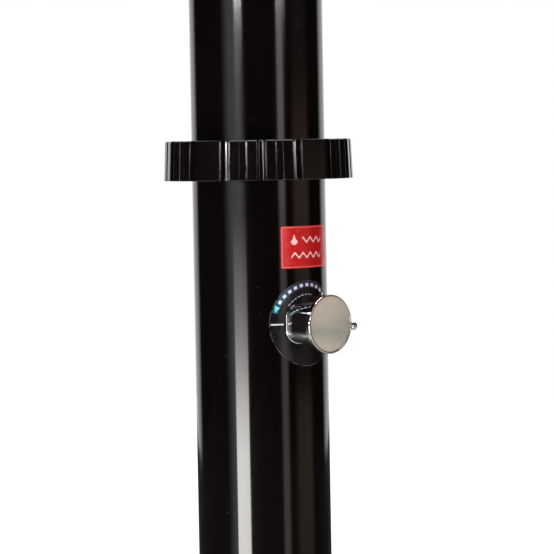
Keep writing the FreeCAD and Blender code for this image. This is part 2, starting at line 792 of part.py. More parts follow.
def knob_screw():
    """Screw under the face, which holds the handle on the spindle."""
    body = tap_body("knob_screw")
    head_base = "(disc_face - face_thick - centre_screw_head_thick)"
    head_top = "(disc_face - face_thick - seat_gap)"
    tip = f"({DISC_BACK} - centre_screw_length + centre_screw_tip_room)"
    shank = "centre_screw_radius - run_gap"
    turned(body, [("0", tip), (shank, tip), (shank, head_base), ("centre_screw_head_radius", head_base),
                  ("centre_screw_head_radius", head_top), ("0", head_top)])
    key = hexagon(new_sketch(body, "XY_Plane", f"{head_top} - centre_screw_key_depth"), "centre_screw_key")
    pocket(body, key, "2 * centre_screw_key_depth", reverse=True)


def lever_pin():
    """Short round lever on the handle's rim, with its stem inside."""
    body = new_body("lever_pin", y="-(disc_face - disc_thick / 2)", z=TAP_HEIGHT)
    body.Placement = Placement(body.Placement.Base, Rotation(Vector(0, 1, 0), 90 + size("lever_angle")))
    turned(body, [("0", "lever_stem_start"), ("lever_stem_radius", "lever_stem_start"),
                  ("lever_stem_radius", "lever_root"), ("lever_radius - lever_root_bevel", "lever_root"),
                  ("lever_radius", "lever_root + lever_root_bevel"),
                  ("lever_radius", "lever_tip - lever_tip_round"),
                  ("lever_radius - lever_tip_step", "lever_tip - lever_tip_step"),
                  ("lever_radius - lever_tip_round", "lever_tip"),
                  ("0", "lever_tip")])


# ---- pipes inside the tank ----

def inner_pipes():
    """Pipes from the valve: hot take-off, riser to the arm, fill pipe to the bottom of the tank."""
    right = "pipe_offset"
    left = "-pipe_offset"
    socket = f"({VALVE_TOP} - socket_depth)"
    joint = f"({LAND_TOP} + seat_gap)"
    pipe("riser_lower", socket, LAND_TOP, right, PIPE_Y)
    pipe("hot_pipe_lower", socket, LAND_TOP, left, PIPE_Y)
    pipe("riser_upper", joint, f"({ARM_HEIGHT} - elbow_radius)", right, PIPE_Y)
    pipe("hot_pipe_upper", joint, "hot_pipe_top", left, PIPE_Y)
    pipe("fill_pipe", "tank_pipe_bottom", f"({VALVE_BASE} + socket_depth)", right, PIPE_Y)
    for label, side in (("riser_coupling", right), ("hot_coupling", left)):
        body = new_body(label, x=side, y=PIPE_Y)
        sketch = draw_circle(new_sketch(body, "XY_Plane", f"{LAND_TOP} - coupling_height / 2"),
                             "coupling_radius")
        draw_circle(sketch, "pipe_radius + glue_gap")
        pad(body, sketch, "coupling_height")


def feed_pipe():
    """Bent pipe from the inlet elbow up to the valve's cold port."""
    bend = 4 * size("pipe_radius")
    x_end = -size("pipe_offset")
    y_end = size("valve_depth") / 2 - size("valve_face")
    y_start = size("tube_radius") - size("elbow_drop")
    z_start = size("inlet_height") + size("elbow_radius")
    z_end = size("union_height") - size("tap_drop") - size("valve_tall") / 2 + size("socket_depth")
    z_cross = z_start + 3 * bend
    reach = math.hypot(x_end, y_end - y_start)
    route = [Vector(0, y_start, z_start), Vector(0, y_start, z_cross),
             Vector(x_end, y_end, z_cross + 2 * reach), Vector(x_end, y_end, z_end)]
    outer = size("pipe_radius")
    shaped("feed_pipe", bent_tube(route, bend, outer, outer - size("pipe_wall")))


def pipe_clips():
    """Clips that tie the riser and the hot pipe together, as one group."""
    outer = size("pipe_radius") + size("glue_gap") + size("clip_thick")
    hole = size("pipe_radius") + size("glue_gap")
    offset = size("pipe_offset")
    y = size("valve_depth") / 2 - size("valve_face")
    tall = size("clip_height")
    base = size("union_height")
    spacing = size("clip_share") * (size("post_height") - base)
    clips = []
    for z in (base + spacing, base + 2 * spacing):
        clip = Part.makeBox(2 * offset, 2 * size("clip_thick"), tall,
                            Vector(-offset, y - size("clip_thick"), z))
        for x in (-offset, offset):
            clip = clip.fuse(Part.makeCylinder(outer, tall, Vector(x, y, z)))
        for x in (-offset, offset):
            clip = clip.cut(Part.makeCylinder(hole, tall, Vector(x, y, z)))
        clips.append(clip.removeSplitter())
    shaped("pipe_clips", Part.makeCompound(clips))


# ---- hose inlet and drain ----

def inlet_fitting():
    """Hose nipple on the back of the tube, with its tail through the wall."""
    body = back_body("inlet_nipple", "inlet_height")
    seat = "(tube_radius + back_gasket_thick)"
    collar_end = f"({seat} + inlet_collar_thick)"
    tail = "(tube_radius - elbow_drop + elbow_radius)"
    end = f"({collar_end} + nipple_length)"
    turned(body, [("nipple_bore", tail), ("inlet_tail_radius", tail), ("inlet_tail_radius", seat),
                  ("inlet_collar_radius", seat), ("inlet_collar_radius", collar_end),
                  ("nipple_radius", collar_end), ("nipple_radius", end), ("nipple_bore", end)])
    gasket = back_body("inlet_gasket", "inlet_height")
    ring = draw_circle(new_sketch(gasket, "XY_Plane", "tube_radius - saddle_depth"), "inlet_collar_radius")
    draw_circle(ring, "inlet_tail_radius + run_gap")
    pad(gasket, ring, "back_gasket_thick + saddle_depth")
    saddle_cut(gasket, "tube_radius + glue_gap")


def inlet_locknut():
    """Nut inside the tank that clamps the inlet, on a curved washer face."""
    body = back_body("inlet_locknut", "inlet_height")
    ring = draw_circle(new_sketch(body, "XY_Plane", f"{TUBE_BORE} - inlet_locknut_thick"),
                       "inlet_collar_radius")
    draw_circle(ring, "inlet_tail_radius + run_gap")
    pad(body, ring, "inlet_locknut_thick")
    outside = draw_circle(new_sketch(body, "XZ_Plane"), f"{TUBE_BORE} - glue_gap")
    draw_circle(outside, "2 * tube_radius")
    pocket(body, outside, "4 * tube_radius", both_sides=True)


def inlet_elbow():
    """Elbow inside the tank that turns the inlet upwards."""
    body = new_body("inlet_elbow", y="tube_radius - elbow_drop", z="inlet_height")
    turned(body, [("0", "-elbow_radius"), ("elbow_radius", "-elbow_radius"),
                  ("elbow_radius", "elbow_radius + socket_depth"), ("0", "elbow_radius + socket_depth")])
    side = draw_circle(new_sketch(body, "XZ_Plane"), "inlet_tail_radius")
    tail = pad(body, side, "elbow_radius")
    tail.Reversed = True
    bore(body, "pipe_radius + glue_gap", "elbow_radius", "(elbow_radius + socket_depth + 1)")
    bore(body, "pipe_radius - pipe_wall", "0", "(elbow_radius + 1)")
    side_hole(body, "pipe_radius - pipe_wall", "0", "elbow_radius + 1", front=False)


def drain():
    """Drain plug and its ring, low on the back."""
    boss = back_body("drain_boss", "drain_height")
    ring = draw_circle(new_sketch(boss, "XY_Plane", "tube_radius - saddle_depth"), "drain_head_radius")
    draw_circle(ring, "drain_radius + run_gap")
    pad(boss, ring, "back_gasket_thick + saddle_depth")
    saddle_cut(boss, "tube_radius + glue_gap")
    seat = "(tube_radius + back_gasket_thick)"
    head = f"({seat} + drain_head_thick)"
    plug = back_body("drain_plug", "drain_height")
    tip = f"({TUBE_BORE} - drain_tip)"
    rim = "(drain_head_radius - drain_head_step)"
    turned(plug, [("0", tip), ("drain_radius", tip), ("drain_radius", f"{seat} + seat_gap"),
                  (rim, f"{seat} + seat_gap"), (rim, f"{head} - drain_head_step"),
                  (f"{rim} - drain_head_step", head), ("0", head)])
    long = "drain_slot_length / 2"
    wide = "drain_slot_width / 2"
    slot = new_sketch(plug, "XY_Plane", f"{head} - drain_slot_depth")
    draw_outline(slot, [(f"-{long}", f"-{wide}"), (long, f"-{wide}"), (long, wide), (f"-{long}", wide)])
    pocket(plug, slot, "2 * drain_slot_depth", reverse=True)


# ---- arm and rain head ----

def arm_route():
    """Corner points of the arm's centre line, from inside the tube to its end."""
    inside = -(size("tube_radius") - size("tube_wall") - size("arm_inner_nut") - size("arm_end_room"))
    level = size("post_height") - size("arm_drop")
    top = level + size("arm_rise")
    out = size("arm_reach")
    knee = size("tube_radius") + size("rose_thick") + size("arm_bend")
    slope = size("arm_slope")
    return [Vector(0, inside, level), Vector(0, -knee, level), Vector(0, -out + slope, top),
            Vector(0, -out, top), Vector(0, -out, top - size("arm_end_drop"))]


def shower_arm():
    """Chrome arm that carries the head out over the user."""
    outer = size("arm_radius")
    tube = bent_tube(arm_route(), size("arm_bend") * size("arm_bend_share"), outer, outer - size("arm_wall"))
    shaped("shower_arm", tube)


def arm_rose():
    """Chrome cover plate where the arm leaves the tube."""
    body = tap_body("arm_rose", ARM_HEIGHT)
    ring = draw_circle(new_sketch(body, "XY_Plane", "tube_radius - saddle_depth"), "rose_radius")
    draw_circle(ring, "arm_radius + run_gap")
    pad(body, ring, "rose_thick + saddle_depth")
    saddle_cut(body, "tube_radius + glue_gap")


def arm_nut():
    """Nut on the arm inside the tank, against the tube's inside."""
    body = tap_body("arm_nut", ARM_HEIGHT)
    ring = draw_circle(new_sketch(body, "XY_Plane", f"{TUBE_BORE} - arm_inner_nut"),
                       "arm_radius + arm_nut_wall")
    draw_circle(ring, "arm_radius + run_gap")
    pad(body, ring, "arm_inner_nut")
    outside = draw_circle(new_sketch(body, "XZ_Plane"), f"{TUBE_BORE} - glue_gap")
    draw_circle(outside, "2 * tube_radius")
    pocket(body, outside, "4 * tube_radius", both_sides=True)


def riser_elbow():
    """Block inside the tank that joins the riser to the arm."""
    body = new_body("riser_elbow", z=ARM_HEIGHT)
    half = "(arm_radius + riser_block_wall)"
    back = f"({PIPE_Y} + coupling_radius)"
    front = f"(-({TUBE_BORE}) + arm_inner_nut + riser_block_room)"
    outline = draw_outline(new_sketch(body, "XY_Plane", f"-{half}"),
                           [(f"-{half}", front), ("pipe_offset + coupling_radius", front),
                            ("pipe_offset + coupling_radius", back), (f"-{half}", back)])
    pad(body, outline, f"2 * {half}")
    side_hole(body, "arm_radius + glue_gap", "0", "tube_radius + 1")
    bore(body, "pipe_radius + glue_gap", f"(-{half} - 1)", "(-elbow_radius + seat_gap)",
         "pipe_offset", PIPE_Y)


def swivel_ball():
    """Ball on the arm's end that the head tilts on."""
    body = new_body("swivel_ball", y="-arm_reach", z=BALL_HEIGHT)
    bore_radius = "arm_radius - arm_wall - glue_gap"
    shoulder = "ball_neck_height - ball_shoulder"
    turned(body, [("0", "ball_radius / 2"), ("ball_neck_radius", "ball_radius / 2"),
                  ("ball_neck_radius", shoulder), ("arm_radius", shoulder),
                  ("arm_radius", "ball_neck_height"), (bore_radius, "ball_neck_height"),
                  (bore_radius, "ball_neck_height + ball_plug_length"),
                  ("0", "ball_neck_height + ball_plug_length")])
    ball = body.newObject("PartDesign::AdditiveSphere", "ball")
    bind(ball, Radius="ball_radius")
    bore(body, "ball_bore", "(-ball_radius - 1)", "(ball_neck_height + ball_plug_length + 1)")


def ball_seat():
    """Cupped seat ring that the ball turns in, itself free to turn in the socket."""
    outer = doc.addObject("Part::Sphere", "seat_outside")
    bind(outer, Radius="ball_radius + seat_gap + seat_thick",
         Angle1="seat_low_angle", Angle2="seat_high_angle")
    inner = doc.addObject("Part::Sphere", "seat_inside")
    bind(inner, Radius="ball_radius + seat_gap")
    cut = keep(doc.addObject("Part::Cut", "ball_seat"), "ball_seat")
    cut.Base = outer
    cut.Tool = inner
    bind(cut, Placement__Base__y="-arm_reach", Placement__Base__z=BALL_HEIGHT)


def head_body():
    """Shell of the rain head, with the socket for the ball on top."""
    body = new_body("head_body", y="-arm_reach", z=BALL_HEIGHT)
    hollow = "(ball_radius + 2 * seat_gap + seat_thick)"
    rim_top = "(head_rim - head_drop)"
    wall = "head_wall"
    slope = "(head_radius - head_shoulder)"
    shoulder = f"({rim_top} + head_shoulder_rise)"
    turned(body, [("ball_neck_radius", f"-{hollow} - {wall}"),
                  ("ball_neck_radius", f"-{hollow} + socket_floor"), (hollow, f"-{hollow} + socket_floor"),
                  (hollow, "socket_lip - seat_gap"), ("socket_radius", "socket_lip - seat_gap"),
                  ("socket_radius", f"-{hollow}"), (slope, shoulder), ("head_radius", rim_top),
                  ("head_radius", "-head_drop"), (f"head_radius - {wall}", "-head_drop"),
                  (f"head_radius - {wall}", f"{rim_top} - {wall}"),
                  (f"{slope} - {wall}", f"{shoulder} - {wall}"),
                  ("socket_radius", f"-{hollow} - {wall}")])
    ball = body.newObject("PartDesign::SubtractiveSphere", "ball_hollow")
    bind(ball, Radius=hollow)


def collar_nut():
    """Nut on the socket that keeps the ball in the head."""
    body = new_body("collar_nut", y="-arm_reach", z=BALL_HEIGHT)
    thread = "socket_radius + glue_gap"
    turned(body, [(thread, "-collar_skirt"), ("collar_radius", "-collar_skirt"),
                  ("collar_radius", "socket_lip + collar_lid / 2"),
                  ("collar_radius - collar_bevel", "socket_lip + collar_lid"),
                  ("collar_bore", "socket_lip + collar_lid"),
                  ("collar_bore", "socket_lip"), (thread, "socket_lip")])


def spray_plate():
    """Face of the head, with a ring of holes for each row of nozzles."""
    body = new_body("spray_plate", y="-arm_reach", z=BALL_HEIGHT)
    rim = "(head_radius - head_wall - glue_gap)"
    top = "(spray_plate_thick + plate_inset - head_drop)"
    base = "(plate_inset - head_drop)"
    turned(body, [("0", base), (rim, base), (rim, top), ("0", top)])
    for ring in range(1, int(size("nozzle_rings")) + 1):
        hole = draw_circle(new_sketch(body, "XY_Plane", base), "nozzle_radius + glue_gap",
                           f"{ring} * nozzle_ring_step")
        round_pattern(body, pocket(body, hole, "spray_plate_thick", reverse=True),
                      int(size("nozzles_per_ring")) * ring)


def nozzles():
    """Soft nozzles in the spray plate, as one group."""
    radius = size("nozzle_radius")
    base = size("plate_inset") - size("head_drop") + size("spray_plate_thick") - size("nozzle_length")
    group = []
    for ring in range(1, int(size("nozzle_rings")) + 1):
        count = int(size("nozzles_per_ring")) * ring
        for place in range(count):
            angle = 2 * math.pi * place / count
            reach = ring * size("nozzle_ring_step")
            spot = Vector(reach * math.cos(angle), reach * math.sin(angle), base)
            group.append(Part.makeCylinder(radius, size("nozzle_length"), spot))
    height = doc.getObject("head_body").Placement.Base
    shaped("nozzles", Part.makeCompound(group), Placement(height, Rotation()))


foot_plate()
foot_screws()
bottom_plug()
lower_tube()
lower_collar()
union_ring()
upper_collar()
slip_ring()
union_nut()
upper_tube()
top_cap()
heat_label()
dial_sticker()
valve_body()
outer_washer()
inner_gasket()
valve_locknut()
tap_sleeve()
sleeve_ring_nut()
valve_spindle()
knob_disc()
knob_face()
knob_screw()
lever_pin()
inner_pipes()
feed_pipe()
pipe_clips()
inlet_fitting()
inlet_locknut()
inlet_elbow()
drain()
shower_arm()
arm_rose()
arm_nut()
riser_elbow()
swivel_ball()
ball_seat()
head_body()
collar_nut()
spray_plate()
doc.recompute()
nozzles()
doc.recompute()

for thing in doc.Objects:
    if "Invalid" in thing.State or "Error" in thing.State:
        raise RuntimeError(f"{thing.Label} did not build: {thing.State}")
for piece in pieces:
    if piece.Shape.isNull() or not piece.Shape.isValid():
        raise RuntimeError(f"{piece.Label} has no valid shape")
    piece.Shape.exportStep(f"parts/{piece.Label}.step")
    print(f"{piece.Label}: {piece.Shape.Volume / 1000:.2f} cm3, {len(piece.Shape.Solids)} solids")
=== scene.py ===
import json
import math
import bmesh
import bpy
import numpy as np
from mathutils import Matrix, Vector


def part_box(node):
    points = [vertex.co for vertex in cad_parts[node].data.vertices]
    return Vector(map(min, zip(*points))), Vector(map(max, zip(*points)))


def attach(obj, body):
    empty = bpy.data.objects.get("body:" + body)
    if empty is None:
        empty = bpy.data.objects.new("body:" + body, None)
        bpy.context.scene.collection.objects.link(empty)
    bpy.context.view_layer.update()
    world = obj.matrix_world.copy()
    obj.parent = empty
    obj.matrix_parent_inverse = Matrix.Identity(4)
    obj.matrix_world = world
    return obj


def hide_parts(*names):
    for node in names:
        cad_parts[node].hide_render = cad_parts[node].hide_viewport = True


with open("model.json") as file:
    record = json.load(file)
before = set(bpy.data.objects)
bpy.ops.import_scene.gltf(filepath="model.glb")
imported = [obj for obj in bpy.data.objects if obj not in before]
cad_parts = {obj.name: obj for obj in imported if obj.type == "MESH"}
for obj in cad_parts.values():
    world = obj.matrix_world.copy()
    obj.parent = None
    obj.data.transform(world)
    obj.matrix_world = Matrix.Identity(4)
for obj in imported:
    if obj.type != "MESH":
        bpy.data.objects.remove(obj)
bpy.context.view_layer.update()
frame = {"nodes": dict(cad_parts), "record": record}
nodes = frame["nodes"]
print("frame loaded:", len(nodes), "nodes")

# places read from the frame

def boxCentre(name):
    low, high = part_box(name)
    return (Vector(low) + Vector(high)) / 2

def boxRadius(name):
    low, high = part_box(name)
    return (high[0] - low[0]) / 2

tubeRadius = boxRadius("lower_tube")
nutLow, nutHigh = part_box("union_nut")
nutCentre = (nutLow[2] + nutHigh[2]) / 2
tapCentre = boxCentre("tap_sleeve")
mm = 0.001

# camera

view = {
    "azimuth": math.radians(-43.4),     # the tap points to the right of the camera
    "distance": 3.2,
    "eyeHeight": nutHigh[2],            # level with the top of the union ring
    "aimHeight": nutCentre - 0.1328,    # the frame's middle lies below the ring
    "aside": 0.0187,                    # the frame's middle lies right of the post
    "roll": math.radians(-1.03),        # the post's foot leans to the right
    "frameWidth": 0.6255,               # metres across the picture at the post
}

def addCamera():
    # stands back from the post, looks down at a point beside its axis and is rolled a little
    turn = view["azimuth"]
    back = Vector((math.sin(turn), -math.cos(turn), 0))
    right = Vector((math.cos(turn), math.sin(turn), 0))
    eye = back * view["distance"] + right * view["aside"]
    eye.z = view["eyeHeight"]
    aim = right * view["aside"]
    aim.z = view["aimHeight"]
    data = bpy.data.cameras.new("camera")
    data.lens = data.sensor_width * (eye - aim).length / view["frameWidth"]
    camera = bpy.data.objects.new("camera", data)
    bpy.context.scene.collection.objects.link(camera)
    toAim = (aim - eye).to_track_quat("-Z", "Y").to_matrix().to_4x4()
    camera.matrix_world = Matrix.Translation(eye) @ toAim @ Matrix.Rotation(view["roll"], 4, "Z")
    bpy.context.scene.camera = camera

addCamera()
bpy.context.scene.view_settings.view_transform = "Standard"
print("camera placed")

# light, floor and background

def plainNode(tree, kind, **values):
    # a node with its properties and unlinked inputs set by name
    new = tree.nodes.new(kind)
    for name, value in values.items():
        if name in new.inputs:
            new.inputs[name].default_value = value
        else:
            setattr(new, name, value)
    return new

def mathNode(tree, operation, a, b=None, c=None):
    # a math node whose inputs are sockets or numbers
    new = tree.nodes.new("ShaderNodeMath")
    new.operation = operation
    for place, value in enumerate((a, b, c)):
        if value is None:
            continue
        if hasattr(value, "links"):
            tree.links.new(value, new.inputs[place])
        else:
            new.inputs[place].default_value = value
    return new.outputs[0]

def mapRange(tree, value, fromLow, fromHigh, toLow=0.0, toHigh=1.0, smooth=False):
    # value carried from one span to another, clamped at both ends
    new = tree.nodes.new("ShaderNodeMapRange")
    new.interpolation_type = "SMOOTHSTEP" if smooth else "LINEAR"
    tree.links.new(value, new.inputs[0])
    for place, number in enumerate((fromLow, fromHigh, toLow, toHigh), start=1):
        new.inputs[place].default_value = number
    return new.outputs[0]

def mixColour(tree, factor, a, b):
    # two colours mixed, each a socket or three numbers
    new = tree.nodes.new("ShaderNodeMix")
    new.data_type = "RGBA"
    for place, value in ((0, factor), (6, a), (7, b)):
        if hasattr(value, "links"):
            tree.links.new(value, new.inputs[place])
        elif place == 0:
            new.inputs[0].default_value = value
        else:
            new.inputs[place].default_value = (*value, 1)
    return new.outputs[2]

studio = {
    "darkGloss": (0.014, 0.011, 0.010),         # what gloss sees in the dark part of the room
    "roomFill": (0.50, 0.50, 0.50),
    "whiteFrom": 40, "whiteTo": 50,             # degrees off the view, where white turns to dark for gloss
    "floorSize": 14.0, "floorColour": (0.80, 0.80, 0.79), "floorRough": 0.9,
    "nearGloss": (0.46, 0.47, 0.43), "farGloss": (0.030, 0.030, 0.028), "glossReach": (1.2, 3.2),
    "floorLift": (0.25, 0.75), "liftReach": (0.5, 2.6),
}

def addWorld():
    # camera rays see white; gloss sees white only behind the post, as in a dark studio
    world = bpy.data.worlds.new("world")
    bpy.context.scene.world = world
    world.use_nodes = True
    tree = world.node_tree
    tree.nodes.clear()
    turn = view["azimuth"]
    coords = tree.nodes.new("ShaderNodeTexCoord")
    flat = plainNode(tree, "ShaderNodeVectorMath", operation="MULTIPLY")
    flat.inputs[1].default_value = (1, 1, 0)
    tree.links.new(coords.outputs["Generated"], flat.inputs[0])
    unit = plainNode(tree, "ShaderNodeVectorMath", operation="NORMALIZE")
    tree.links.new(flat.outputs[0], unit.inputs[0])
    dot = plainNode(tree, "ShaderNodeVectorMath", operation="DOT_PRODUCT")
    dot.inputs[1].default_value = (-math.sin(turn), math.cos(turn), 0)
    tree.links.new(unit.outputs[0], dot.inputs[0])
    behind = mapRange(tree, dot.outputs["Value"], math.cos(math.radians(studio["whiteTo"])),
                      math.cos(math.radians(studio["whiteFrom"])))
    glossy = mixColour(tree, behind, studio["darkGloss"], (1, 1, 1))
    rays = tree.nodes.new("ShaderNodeLightPath")
    seen = mixColour(tree, rays.outputs["Is Glossy Ray"], studio["roomFill"], glossy)
    seen = mixColour(tree, rays.outputs["Is Camera Ray"], seen, (1, 1, 1))
    seen = mixColour(tree, rays.outputs["Is Transmission Ray"], seen, (1, 1, 1))
    shade = tree.nodes.new("ShaderNodeBackground")
    tree.links.new(seen, shade.inputs[0])
    out = tree.nodes.new("ShaderNodeOutputWorld")
    tree.links.new(shade.outputs[0], out.inputs[0])

# each panel stands round the post: from and to are degrees right of the camera, low and high are
# heights, and glow is its strength at the heights listed with it
panels = {
    "keyPanel": {"from": -45.6, "to": -22.6, "low": 0.15, "high": 1.0, "away": 1.6,
                 "colour": (1.0, 0.98, 0.93), "edge": 0.03,
                 "glow": ((0.15, 15.0), (0.60, 15.0), (0.68, 11.5), (0.76, 6.0), (0.85, 2.6), (0.93, 1.3),
                          (1.0, 0.0))},
    "highPanel": {"from": -37.5, "to": -24, "low": 2.14, "high": 2.44, "away": 14.0,
                  "colour": (1.0, 0.99, 0.97), "edge": 0.05,
                  "glow": ((2.14, 0.0), (2.20, 190.0), (2.40, 190.0), (2.44, 0.0))},
    "highStrip": {"from": 34, "to": 52, "low": 2.13, "high": 2.44, "away": 14.0,
                  "colour": (1.0, 0.90, 0.87), "edge": 0.1,
                  "glow": ((2.13, 0.0), (2.18, 50.0), (2.40, 50.0), (2.44, 0.0))},
    "upperLeft": {"from": -112, "to": -96, "low": 2.50, "high": 2.74, "away": 3.0,
                  "colour": (1.0, 1.0, 1.0), "edge": 0.1,
                  "glow": ((2.50, 0.0), (2.54, 6.0), (2.70, 6.0), (2.74, 0.0))},
    "glowPanel": {"from": -64, "to": -19, "low": 0.15, "high": 2.2, "away": 1.9,
                  "colour": (0.92, 0.94, 1.0), "edge": 0.42,
                  "glow": ((0.15, 1.0), (2.2, 1.0))},
    "rightStrip": {"from": 31.0, "to": 48.0, "low": 0.15, "high": 2.2, "away": 1.8,
                   "colour": (1.0, 0.86, 0.82), "edge": 0.35,
                   "glow": ((0.15, 0.9), (0.95, 1.0), (1.15, 2.0), (2.2, 2.0))},
    "warmWall": {"from": 54, "to": 100, "low": 0.0, "high": 2.4, "away": 2.2,
                 "colour": (1.0, 0.68, 0.50), "edge": 0.30,
                 "glow": ((0.0, 0.20), (0.50, 0.38), (0.62, 0.36), (0.665, 0.16), (0.70, 0.03),
                          (0.735, 0.14), (0.80, 0.28), (0.92, 0.38), (1.10, 0.46), (1.18, 0.24),
                          (1.28, 0.09), (2.4, 0.09))},
}

panelSteps = 24

def glowAt(tree, height, glow):
    # straight lines between the listed (height, glow) pairs, by a curve node that runs from 0 to 1
    most = max(value for place, value in glow)
    first, last = glow[0][0], glow[-1][0]
    spots = [((place - first) / (last - first), value / most) for place, value in glow]
    curve = tree.nodes.new("ShaderNodeFloatCurve")
    tree.links.new(mapRange(tree, height, first, last), curve.inputs["Value"])
    line = curve.mapping.curves[0]
    line.points[0].location = spots[0]
    line.points[-1].location = spots[-1]
    for spot in spots[1:-1]:
        line.points.new(*spot)
    for point in line.points:
        point.handle_type = "VECTOR"
    curve.mapping.update()
    return mathNode(tree, "MULTIPLY", curve.outputs[0], most)

def addPanel(name, panel):
    # an upright sheet of light, curved round the post: x = a sin t, y = -a cos t, for t from side to side
    sides = np.radians(np.linspace(panel["from"], panel["to"], panelSteps)) + view["azimuth"]
    rows = np.array([panel["low"], panel["high"]])
    away = panel["away"]
    t, z = np.meshgrid(sides, rows, indexing="ij")
    points = np.stack([away * np.sin(t), -away * np.cos(t), z], axis=-1)
    across = np.linspace(0, 1, panelSteps)
    uv = np.stack(np.broadcast_arrays(across[:, None], rows[None, :]), axis=-1)
    sheet = gridPiece(name, points, uv=uv)
    sheet.visible_camera = False
    sheet.visible_shadow = False
    material = bpy.data.materials.new(name)
    material.use_nodes = True
    tree = material.node_tree
    tree.nodes.clear()
    side, height = flatPlace(tree)
    left = mapRange(tree, side, 0.0, panel["edge"], smooth=True)
    right = mapRange(tree, side, 1.0, 1.0 - panel["edge"], smooth=True)
    strength = mathNode(tree, "MULTIPLY", left, right)
    strength = mathNode(tree, "MULTIPLY", strength, glowAt(tree, height, panel["glow"]))
    lit = plainNode(tree, "ShaderNodeEmission", Color=(*panel["colour"], 1))
    tree.links.new(strength, lit.inputs["Strength"])
    through = tree.nodes.new("ShaderNodeBsdfTransparent")
    both = tree.nodes.new("ShaderNodeAddShader")
    out = tree.nodes.new("ShaderNodeOutputMaterial")
    tree.links.new(lit.outputs[0], both.inputs[0])
    tree.links.new(through.outputs[0], both.inputs[1])
    tree.links.new(both.outputs[0], out.inputs[0])
    sheet.data.materials.append(material)

overhead = {"height": 3.6, "forward": 0.1, "width": 1.6, "depth": 0.9, "power": 60}

def addOverhead():
    # a soft rectangular lamp above the post, aimed at its foot, that the camera doesn't see
    data = bpy.data.lights.new("overhead", "AREA")
    data.shape = "RECTANGLE"
    data.size = overhead["width"]
    data.size_y = overhead["depth"]
    data.energy = overhead["power"]
    lamp = bpy.data.objects.new("overhead", data)
    bpy.context.scene.collection.objects.link(lamp)
    lamp.location = (0, -overhead["forward"], overhead["height"])
    lamp.rotation_euler = (-lamp.location).to_track_quat("-Z", "Y").to_euler()
    lamp.visible_camera = False

def addFloor():
    # flat sheet at z = 0; reflections see it pale near the post, for the undersides, and dark far off,
    # and its lift grows with the distance, so that a soft shadow stays round the foot
    half = studio["floorSize"] / 2
    t = np.linspace(-half, half, 2)
    x, y = np.meshgrid(t, t, indexing="ij")
    floor = gridPiece("floor", np.stack([x, y, np.zeros_like(x)], axis=-1))
    material = bpy.data.materials.new("floor")
    material.use_nodes = True
    tree = material.node_tree
    shader = tree.nodes["Principled BSDF"]
    rays = tree.nodes.new("ShaderNodeLightPath")
    shader.inputs["Roughness"].default_value = studio["floorRough"]
    shader.inputs["Emission Color"].default_value = (1, 1, 1, 1)
    apart = plainNode(tree, "ShaderNodeVectorMath", operation="LENGTH")
    tree.links.new(objectPlace(tree), apart.inputs[0])
    far = mapRange(tree, apart.outputs["Value"], *studio["glossReach"], 0.0, 1.0, smooth=True)
    gloss = mixColour(tree, far, studio["nearGloss"], studio["farGloss"])
    tree.links.new(mixColour(tree, rays.outputs["Is Glossy Ray"], studio["floorColour"], gloss),
                   shader.inputs["Base Color"])
    lift = mapRange(tree, apart.outputs["Value"], *studio["liftReach"], *studio["floorLift"], smooth=True)
    seenLift = mathNode(tree, "MULTIPLY", rays.outputs["Is Camera Ray"], lift)
    tree.links.new(seenLift, shader.inputs["Emission Strength"])
    floor.data.materials.append(material)

# surfaces

sharpAngle = math.radians(38)

def gridPiece(name, points, closeU=False, closeV=False, uv=None, weld=False):
    # points[i, j] is the surface at step i of u and step j of v; four neighbours make a face
    countU, countV = points.shape[:2]
    index = np.arange(countU * countV).reshape(countU, countV)
    u = index if closeU else index[:-1]
    nextU = np.roll(index, -1, axis=0) if closeU else index[1:]
    a, b = (u, nextU) if closeV else (u[:, :-1], nextU[:, :-1])
    d, c = (np.roll(u, -1, axis=1), np.roll(nextU, -1, axis=1)) if closeV else (u[:, 1:], nextU[:, 1:])
    faces = np.stack([a, b, c, d], axis=-1).reshape(-1, 4)
    mesh = bpy.data.meshes.new(name)
    mesh.vertices.add(countU * countV)
    mesh.vertices.foreach_set("co", np.ascontiguousarray(points, dtype=np.float32).ravel())
    mesh.loops.add(faces.size)
    mesh.loops.foreach_set("vertex_index", faces.ravel().astype(np.int32))
    mesh.polygons.add(len(faces))
    mesh.polygons.foreach_set("loop_start", np.arange(0, faces.size, 4, dtype=np.int32))
    mesh.polygons.foreach_set("use_smooth", np.ones(len(faces), dtype=bool))
    if uv is not None:
        layer = mesh.uv_layers.new(name="UVMap")
        layer.data.foreach_set("uv", uv.reshape(-1, 2)[faces.ravel()].astype(np.float32).ravel())
    mesh.update(calc_edges=True)
    if weld:
        shape = bmesh.new()
        shape.from_mesh(mesh)
        bmesh.ops.remove_doubles(shape, verts=shape.verts, dist=1e-7)
        bmesh.ops.recalc_face_normals(shape, faces=shape.faces)
        shape.to_mesh(mesh)
        shape.free()
    mesh.set_sharp_from_angle(angle=sharpAngle)
    piece = bpy.data.objects.new(name, mesh)
    bpy.context.scene.collection.objects.link(piece)
    return piece

rounding = {
    "mostReach": 0.49,      # an arc takes at most this share of either edge
    "hold": 0.02,           # a point this much further out keeps the flats beside an arc flat
    "straight": 1.56,       # a corner with a half angle past this is left as it is
}

